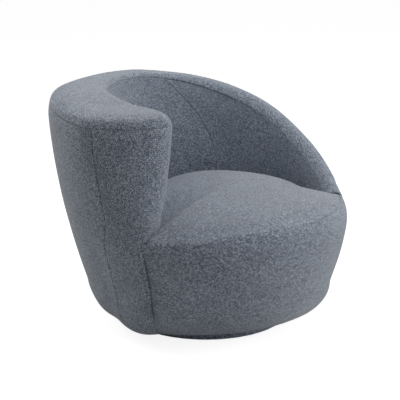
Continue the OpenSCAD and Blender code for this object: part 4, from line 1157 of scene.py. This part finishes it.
def seat_surface(f, line, dome, rhos):
    """Points of the domed top, from its middle out to the outline"""
    plan = mix(SEAT_CENTRE, line[:, None], rhos[None, :, None])
    # Shares of the drop from the middle to the edge: as a ball, at the front, by the arm and back
    ball = (1 - np.sqrt(1 - (SEAT_BEND * rhos)**2)) / (1 - math.sqrt(1 - SEAT_BEND**2))
    edge = mix(ball, rhos**2, mix(0.10, 0.97, dome["near_end"])[:, None])
    tuck = mix(mix(ball, rhos**1.75, 0.4), rhos**3.1, dome["behind"][:, None])
    fall = mix(tuck, edge, dome["front"][:, None])
    z = f.seat_h - dome["drop"][:, None] * fall
    return np.concatenate([plan, z[..., None]], -1)


class ARMCHAIR_OT_seat(bpy.types.Operator):
    """Seat: a domed cushion sewn to the front band, and tucked in at the arm and the back"""
    bl_idname = "armchair.seat"
    bl_label = "Seat cushion"

    def execute(self, context):
        w = body_of(context)
        f = w.f
        line, dome = seat_outline(w)
        front = dome["front"]
        rhos = np.concatenate([np.linspace(0.03, 0.9, 34), np.linspace(0.9, 0.985, 9)[1:],
                               [0.989, 0.9925, 0.9955, 0.9975, 0.999, 1.0]])
        top = seat_surface(f, line, dome, rhos)
        normal = normals_of(top)
        normal *= np.sign(normal[..., 2:])
        run = np.linalg.norm(top - top[:, -1:], axis=2)
        # The front seam is faint near the crease; the other edges roll down into the tuck
        plain = front * mix(0.3, 1.0, dome["plain_seam"])
        lip = rolled(run, f.seam_w, f.seam_d) * plain[:, None]
        side = rolled(run, width=0.02, depth=0.012) * (1 - front[:, None])
        out = 0.0009 * waves(top, size=0.15, seed=21) * ease(run, 0.0, 0.07) - lip - side
        top = top + normal * out[..., None]
        # Rows down the sides and across the underside
        sides = []
        inner = mix(SEAT_CENTRE, line, mix(0.996, 0.985, front)[:, None])
        for share in (0.2, 0.5, 0.8, 1.0):
            height = mix(top[:, -1, 2], PADDING_Z, share)
            at = mix(top[:, -1, :2], inner, min(1.0, share * 1.6))
            sides.append(np.concatenate([at, height[:, None]], 1))
        under = [np.concatenate([mix(SEAT_CENTRE, inner, r), np.full((len(line), 1), PADDING_Z)], 1)
                 for r in (0.9, 0.6, 0.3)]
        rows = np.concatenate([top, np.stack(sides + under, 1)], 1)
        n, m = rows.shape[:2]
        # Flat coordinates: the plan on top, and on down the sides at the run of their rows
        flat = rows[..., :2].copy()
        drop_run = np.cumsum(np.linalg.norm(np.diff(rows[:, len(rhos) - 1:], axis=1), axis=2), axis=1)
        away = unit(line - SEAT_CENTRE)
        flat[:, len(rhos):] = flat[:, len(rhos) - 1:len(rhos)] + away[:, None] * drop_run[..., None]
        faces = grid_faces(n, m, wrap=True).tolist()
        verts = np.concatenate([rows.reshape(-1, 3),
                                [[*SEAT_CENTRE, f.seat_h], [*SEAT_CENTRE, PADDING_Z]]])
        flat = np.concatenate([flat.reshape(-1, 2), [SEAT_CENTRE, SEAT_CENTRE]])
        # Fans that close the middles of the top and of the underside
        centre, below = n * m, n * m + 1
        faces += [(centre, (k + 1) % n * m, k * m) for k in range(n)]
        faces += [(below, k * m + m - 1, (k + 1) % n * m + m - 1) for k in range(n)]
        obj = mesh_object("seat_cushion", verts, faces, flat)
        edited(obj, outwards)
        self.puff(obj, rhos, rows.shape)
        finish_panel(obj, tweed("tweed_seat", context.scene.armchair_tweed, turn=34.0),
                     nodes=("seat_cover", "seat_foam"))
        return {"FINISHED"}

    def puff(self, obj, rhos, shape):
        """Adds the fullness that a cloth simulation gives the top, fading out at its seams"""
        start, move = inflated(obj, voxel=0.009, pressure=4.0, frames=20, cap=0.006)
        points = points_of(obj.data)
        share = np.zeros(shape[:2])
        share[:, :len(rhos)] = 1 - ease(rhos, 0.86, 0.98)
        weight = np.concatenate([share.ravel(), [1.0, 0.0]])
        points = points + carried(points, start, move) * weight[:, None]
        obj.data.vertices.foreach_set("co", points.ravel())
        obj.data.update()


class ARMCHAIR_OT_plinth_wrap(bpy.types.Operator):
    """Plinth cover: a strip of the cover wrapped round the plinth and stapled under it"""
    bl_idname = "armchair.plinth_wrap"
    bl_label = "Plinth wrap"

    def execute(self, context):
        w = body_of(context)
        rim = w.f.plinth_r
        r, t, bend, ripples = rim + 0.0030, 0.0020, 0.0026, (46, 31)
        low, high, under, over = 0.0036, 0.045, rim - 0.026, rim - 0.034
        corner = np.linspace(0, np.pi / 2, 7)
        outer = [(under, low - t)]
        outer += [(r + t - bend + bend * math.sin(a), low - t + bend - bend * math.cos(a))
                  for a in corner]
        outer += [(r + t + 0.0004 * math.sin(math.pi * s), mix(low + bend, high - bend, s))
                  for s in np.linspace(0.1, 0.9, 6)]
        outer += [(r + t - bend + bend * math.cos(a), high + t - bend + bend * math.sin(a))
                  for a in corner]
        outer += [(over, high + t)]
        inner = [(over, high + 0.0001), (r, high + 0.0001), (r, low - 0.0001), (under, low - 0.0001)]
        turns = np.linspace(0, 2 * np.pi, 240, endpoint=False)
        ripple = 0.00025 * np.sin(turns * ripples[0]) + 0.0002 * np.sin(turns * ripples[1] + 1)
        columns = []
        for k, (pr, pz) in enumerate(outer + inner + outer[:1]):
            wide = pr + (ripple if 1 < k < len(outer) - 1 else 0 * ripple)
            columns.append(np.stack([wide * np.cos(turns), wide * np.sin(turns),
                                     np.full_like(turns, pz)], -1))
        grid = np.stack(columns, 1)
        closed = np.concatenate([grid, grid[:1]])
        obj = mesh_object("plinth_wrap", closed, grid_faces(*closed.shape[:2]), cloth_map(closed))
        edited(obj, drop_loose)
        edited(obj, outwards)
        finish_panel(obj, tweed("tweed_plinth", context.scene.armchair_tweed, 0.0), body="plinth",
                     nodes=("plinth_cover",))
        return {"FINISHED"}


# Repeated small things, made with Geometry Nodes

class Repeat:
    """Geometry Nodes tree that sets one small shape along a path of edges"""

    def __init__(self, name, sizes):
        self.tree = bpy.data.node_groups.new(name, "GeometryNodeTree")
        face = self.tree.interface
        face.new_socket("Path", in_out="INPUT", socket_type="NodeSocketGeometry")
        self.ids = {}
        kinds = [(size, "Float") for size in sizes] + [("Seed", "Int"), ("Look", "Material")]
        for label, kind in kinds:
            socket = face.new_socket(label, in_out="INPUT", socket_type="NodeSocket" + kind)
            self.ids[label] = socket.identifier
        face.new_socket("Pieces", in_out="OUTPUT", socket_type="NodeSocketGeometry")
        self.start = self.node("NodeGroupInput").outputs
        line = self.node("GeometryNodeMeshToCurve", {}, {"Mesh": self.start["Path"]})
        self.points = self.node("GeometryNodeCurveToPoints", {"mode": "LENGTH"},
                                {"Curve": line.outputs[0], "Length": self.start["Pitch"]}).outputs

    def node(self, kind, settings=None, inputs=None):
        return add_node(self.tree, kind, settings, inputs)

    def placed(self, shape, **more):
        """The shape at each step of the path"""
        return self.node("GeometryNodeInstanceOnPoints", {}, {
            "Points": self.points["Points"], "Instance": shape,
            "Rotation": self.points["Rotation"], **more}).outputs[0]

    def done(self, pieces):
        """Makes the instances real, gives them their finish and closes the tree"""
        real = self.node("GeometryNodeRealizeInstances", {}, {"Geometry": pieces})
        dyed = self.node("GeometryNodeSetMaterial", {},
                         {"Geometry": real.outputs[0], "Material": self.start["Look"]})
        self.node("NodeGroupOutput", {}, {0: dyed.outputs[0]})
        return self


def stitch_tree():
    """Stitches across a seam: a short round bar at each step of the path"""
    r = Repeat("Seam stitches", ("Pitch", "Stitch length", "Thread radius"))
    bar = r.node("GeometryNodeMeshCylinder", {}, {
        "Vertices": 6, "Side Segments": 1, "Radius": r.start["Thread radius"],
        "Depth": r.start["Stitch length"]})
    tilt = r.node("GeometryNodeTransform", {}, {"Geometry": bar.outputs["Mesh"],
                                                "Rotation": (math.radians(90), 0.0, 0.0)})
    wobble = r.node("FunctionNodeRandomValue", {"data_type": "FLOAT"},
                    {2: 0.85, 3: 1.15, "Seed": r.start["Seed"]})
    return r.done(r.placed(tilt.outputs[0], Scale=wobble.outputs[1]))


def path_object(name, lines):
    """Edges along one or more lines"""
    mesh = bpy.data.meshes.new(name)
    verts, edges = [], []
    for line in lines:
        first = len(verts)
        verts += np.asarray(line).tolist()
        edges += [(first + k, first + k + 1) for k in range(len(line) - 1)]
    mesh.from_pydata(verts, edges, [])
    obj = bpy.data.objects.new(name, mesh)
    bpy.context.scene.collection.objects.link(obj)
    return obj


def grown(path, repeat, values, name):
    """Runs a tree on a path object and returns the result as a plain mesh object"""
    modifier = path.modifiers.new(name, "NODES")
    modifier.node_group = repeat.tree
    for label, value in values.items():
        modifier[repeat.ids[label]] = value
    graph = bpy.context.evaluated_depsgraph_get()
    mesh = bpy.data.meshes.new_from_object(path.evaluated_get(graph))
    obj = bpy.data.objects.new(name, mesh)
    bpy.context.scene.collection.objects.link(obj)
    path.modifiers.clear()
    bpy.data.objects.remove(path)
    return obj


class ARMCHAIR_OT_seam_stitches(bpy.types.Operator):
    """Stitches down in the seams of the covers"""
    bl_idname = "armchair.seam_stitches"
    bl_label = "Seam stitches"

    def execute(self, context):
        w = body_of(context)
        f = w.f
        depth = f.seam_d * 0.62

        def along(q, z):
            line = w.plan(q, z)
            way = unit(np.gradient(line, axis=0))
            line = line - depth * np.stack([way[:, 1], -way[:, 0]], -1)
            return np.concatenate([line, z[:, None]], 1)

        # Round the whole top edge, down the arm front, along the seat's front, up the inner back
        q_out = np.linspace(-TAIL_LAP + 1, 0, 260)
        q_head = np.linspace(0, 2, 120)[1:]
        q_in = np.linspace(2, TAIL_LAP - INNER_LAP + 1, 260)[1:]
        q_all = np.concatenate([q_out, q_head, q_in])
        lines = [along(q_all, w.seam_top(q_all))]
        z = np.linspace(0.1, float(w.seam_top(SEAM_Q)), 90)
        at = w.plan(np.full_like(z, SEAM_Q), z)
        at = at * (1 - depth / np.linalg.norm(at, axis=1, keepdims=True))
        lines.append(np.concatenate([at, z[:, None]], 1))
        b = np.linspace(w.tail_bearing - 1, f.crease_bearing + 1, 120)
        lines.append(np.concatenate([polar(np.full_like(b, f.seam_r - depth), b),
                                     np.full((len(b), 1), f.seam_h - 0.001)], 1))
        z = np.linspace(w.arm_low_z - 0.02, f.chair_h - 0.05, 60)
        for _ in range(2):
            lap = w.seam_lap(z)
            z = np.minimum(z, w.seam_top(inner_place(lap)))
        lines.append(np.concatenate([polar(w.inner_r(lap, z) + depth, f.head_bearing - lap),
                                     z[:, None]], 1))
        yarn = thread("sewing_thread", context.scene.armchair_finish.thread)
        obj = grown(path_object("seam_path", lines), stitch_tree(),
                    {"Pitch": 0.0052, "Stitch length": 0.0032, "Thread radius": 0.00032, "Seed": 4,
                     "Look": yarn}, "seam_stitches")
        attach(obj, "chair")
        return {"FINISHED"}


def staple_tree():
    """Staples: a flat crown at each step of the path, slightly turned"""
    r = Repeat("Staples", ("Pitch", "Crown", "Wire"))
    size = r.node("ShaderNodeCombineXYZ", {},
                  {"X": r.start["Wire"], "Y": r.start["Wire"], "Z": r.start["Crown"]})
    crown = r.node("GeometryNodeMeshCube", {}, {"Size": size.outputs[0]})
    turn = r.node("FunctionNodeRandomValue", {"data_type": "FLOAT_VECTOR"}, {
        0: (0.0, 0.0, -0.12), 1: (0.0, 0.0, 0.12), "Seed": r.start["Seed"]})
    turned = r.node("GeometryNodeRotateInstances", {}, {
        "Instances": r.placed(crown.outputs["Mesh"]), "Rotation": turn.outputs[0]})
    return r.done(turned.outputs[0])


class ARMCHAIR_OT_staples(bpy.types.Operator):
    """Staples that hold the hems under the body and under the plinth"""
    bl_idname = "armchair.staples"
    bl_label = "Staples"

    def execute(self, context):
        w = body_of(context)
        metal = steel("staple_wire", context.scene.armchair_finish.zinc, brushed=True)
        b = np.linspace(0, 360, 361)
        tree = staple_tree()
        for name, body, radius, z in (
                ("hem_staples", "chair", w.hem_r + 0.007, w.f.floor_gap - 0.0006),
                ("plinth_staples", "plinth", w.f.plinth_r - 0.020, 0.0033)):
            ring = np.concatenate([polar(np.full_like(b, radius), b), np.full((len(b), 1), z)], 1)
            values = {"Pitch": 0.024, "Crown": 0.010, "Wire": 0.0007, "Seed": 7, "Look": metal}
            obj = grown(path_object(name + "_path", [ring]), tree, values, name)
            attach(obj, body)
        return {"FINISHED"}


# Finishes of the frame

class ARMCHAIR_OT_frame_finishes(bpy.types.Operator):
    """Wood, metal and plastic finishes of the frame that the covers hide"""
    bl_idname = "armchair.frame_finishes"
    bl_label = "Frame finishes"

    def execute(self, context):
        look = context.scene.armchair_finish
        ply = plywood("birch_plywood", look.plywood)
        pine = wood("planed_softwood", look.softwood)
        pressed = hardboard("bent_hardboard", look.hardboard)
        zinc = steel("zinc_plated", look.zinc, spotted=0.5)
        plate = steel("pressed_plate", look.plate, brushed=True)
        bands = webbing_cloth("elastic_webbing", look.webbing)
        felt = felted_cloth("dust_cloth", look.dust_cloth)
        cage = plastic("cage_plastic", look.cage)
        black = plastic("glide_plastic", look.glide, 0.35)
        foam = open_foam("cut_foam", look.foam)
        wears = {}
        for material, names in (
                (black, "glides"), (cage, "ball_cage"), (felt, "dust_cover"),
                (bands, "webbing_long webbing_cross"), (pine, "arm_post top_rail"),
                (zinc, "tee_nuts lower_plate_screws upper_plate_bolts plinth_screws rib_screws "
                       "ring_screws"),
                (plate, "swivel_balls swivel_pin lower_swivel_plate upper_swivel_plate"),
                (ply, "plinth_lower_board plinth_ring plinth_upper_board base_panel skirt_ring "
                      "seat_ring_board arm_shelf")):
            wears.update(dict.fromkeys(names.split(), material))
        for name, obj in frame["nodes"].items():
            other = ply if "rib" in name else pressed if "liner" in name else foam
            material = wears.get(name, other)
            if not obj.material_slots:
                raise RuntimeError(name + " has no material slot")
            for slot in obj.material_slots:
                slot.material = material
        return {"FINISHED"}


# Stage

class ARMCHAIR_OT_stage(bpy.types.Operator):
    """Pale floor, soft studio light, and the camera at the photograph's angle"""
    bl_idname = "armchair.stage"
    bl_label = "Stage"

    def execute(self, context):
        look = context.scene.armchair_studio
        scene = context.scene
        scene.view_settings.view_transform = "Standard"
        self.floor(look)
        self.world(scene, look)
        self.light("top_light", (0.17, 0.25, 2.6), 2.4, look.top_light)
        self.light("right_light", (2.38, -1.48, 0.9), 1.4, look.right_light)
        self.light("front_light", (1.04, -2.39, 1.4), 1.6, look.front_light)
        self.light("back_light", (-1.15, 2.23, 1.6), 1.6, look.back_light)
        self.camera(scene, look)
        return {"FINISHED"}

    def floor(self, look):
        """Floor that shows white to the camera and keeps the object's shadow"""
        half = 12.0
        corners = [(-half, -half, 0), (half, -half, 0), (half, half, 0), (-half, half, 0)]
        floor = mesh_object("floor", corners, [(0, 1, 2, 3)], smooth=False)
        f = Finish("pale_floor", roughness=0.9)
        grain = f.noise(f.place(), 6.0)
        plug(f.tree, f.surface.inputs["Base Color"],
             f.blend(grain * 0.2, look.floor, scaled(look.floor, 0.97)))
        seen = f.node("ShaderNodeLightPath", output="Is Camera Ray")
        lit = f.node("ShaderNodeEmission", {}, {"Color": (1, 1, 1, 1), "Strength": 0.87})
        paint = f.node("ShaderNodeBsdfDiffuse", {}, {"Color": (0.45, 0.45, 0.45, 1)})
        both = f.node("ShaderNodeAddShader", {}, {0: lit, 1: paint})
        either = f.node("ShaderNodeMixShader", {}, {0: seen, 1: f.surface.outputs[0], 2: both})
        plug(f.tree, f.output.inputs[0], either)
        floor.data.materials.append(f.material)

    def world(self, scene, look):
        """Even light on the object, and white wherever the camera or a mirror sees past it"""
        scene.world = bpy.data.worlds.new("studio")
        scene.world.use_nodes = True
        tree = scene.world.node_tree
        tree.nodes.clear()
        white = (1, 1, 1, 1)
        ray = add_node(tree, "ShaderNodeLightPath").outputs
        glossy = add_node(tree, "ShaderNodeMath", {"operation": "MAXIMUM"},
                          {0: ray["Is Glossy Ray"], 1: ray["Is Transmission Ray"]})
        either = add_node(tree, "ShaderNodeMath", {"operation": "MAXIMUM"},
                          {0: ray["Is Camera Ray"], 1: glossy.outputs[0]})
        even = add_node(tree, "ShaderNodeBackground", {}, {"Color": white, "Strength": look.fill})
        plain = add_node(tree, "ShaderNodeBackground", {}, {"Color": white})
        choose = add_node(tree, "ShaderNodeMixShader", {},
                          {0: either.outputs[0], 1: even.outputs[0], 2: plain.outputs[0]})
        add_node(tree, "ShaderNodeOutputWorld", {}, {0: choose.outputs[0]})

    def light(self, name, place, size, power):
        """Round soft light that shines at the middle of the chair"""
        data = bpy.data.lights.new(name, "AREA")
        data.shape, data.size, data.energy = "DISK", size, power
        obj = bpy.data.objects.new(name, data)
        obj.location = place
        middle = Vector((0.0, 0.0, 0.3))
        towards = middle - Vector(place)
        obj.rotation_euler = towards.to_track_quat("-Z", "Y").to_euler()
        bpy.context.scene.collection.objects.link(obj)

    def camera(self, scene, look):
        """Camera fitted to the photograph: 34 degrees to the left and 16.36 degrees down"""
        turn, down, away = math.radians(34), math.radians(16.36), 4.0
        side, aim_z = -0.01681, 0.34678
        target = Vector((side * math.cos(turn), -side * math.sin(turn), aim_z))
        back = -away * math.cos(down)
        place = target + Vector((back * math.sin(turn), back * math.cos(turn), away * math.sin(down)))
        data = bpy.data.cameras.new("camera")
        data.lens, data.sensor_width, data.sensor_fit = look.lens, 36.0, "HORIZONTAL"
        data.clip_start, data.clip_end = 0.1, 60.0
        cam = bpy.data.objects.new("camera", data)
        cam.location = place
        cam.rotation_euler = (target - place).to_track_quat("-Z", "Y").to_euler()
        scene.collection.objects.link(cam)
        scene.camera = cam


STEPS = (ARMCHAIR_OT_outer_shell, ARMCHAIR_OT_arm_front, ARMCHAIR_OT_top_panel, ARMCHAIR_OT_inner_back,
         ARMCHAIR_OT_front_band, ARMCHAIR_OT_seat, ARMCHAIR_OT_plinth_wrap, ARMCHAIR_OT_seam_stitches,
         ARMCHAIR_OT_staples, ARMCHAIR_OT_frame_finishes, ARMCHAIR_OT_stage)
GROUPS = (("armchair_form", ArmchairForm), ("armchair_tweed", TweedLook),
          ("armchair_finish", FrameFinish), ("armchair_studio", StudioLook))


class ARMCHAIR_PT_panel(bpy.types.Panel):
    """Sizes, colours and steps of the armchair"""
    bl_label = "Swivel armchair"
    bl_idname = "ARMCHAIR_PT_panel"
    bl_space_type = "VIEW_3D"
    bl_region_type = "UI"
    bl_category = "Armchair"

    def draw(self, context):
        for attribute, group in GROUPS:
            box = self.layout.box()
            box.label(text=group.__doc__)
            for key in group.__annotations__:
                box.prop(getattr(context.scene, attribute), key)
        for step in STEPS:
            self.layout.operator(step.bl_idname)


def register():
    for attribute, group in GROUPS:
        bpy.utils.register_class(group)
        setattr(bpy.types.Scene, attribute, PointerProperty(type=group))
    for step in STEPS:
        bpy.utils.register_class(step)
    bpy.utils.register_class(ARMCHAIR_PT_panel)


def unregister():
    bpy.utils.unregister_class(ARMCHAIR_PT_panel)
    for step in reversed(STEPS):
        bpy.utils.unregister_class(step)
    for attribute, group in reversed(GROUPS):
        delattr(bpy.types.Scene, attribute)
        bpy.utils.unregister_class(group)


def main():
    register()
    for step in STEPS:
        getattr(bpy.ops.armchair, step.bl_idname.split(".")[1])()


if __name__ == "__main__":
    main()
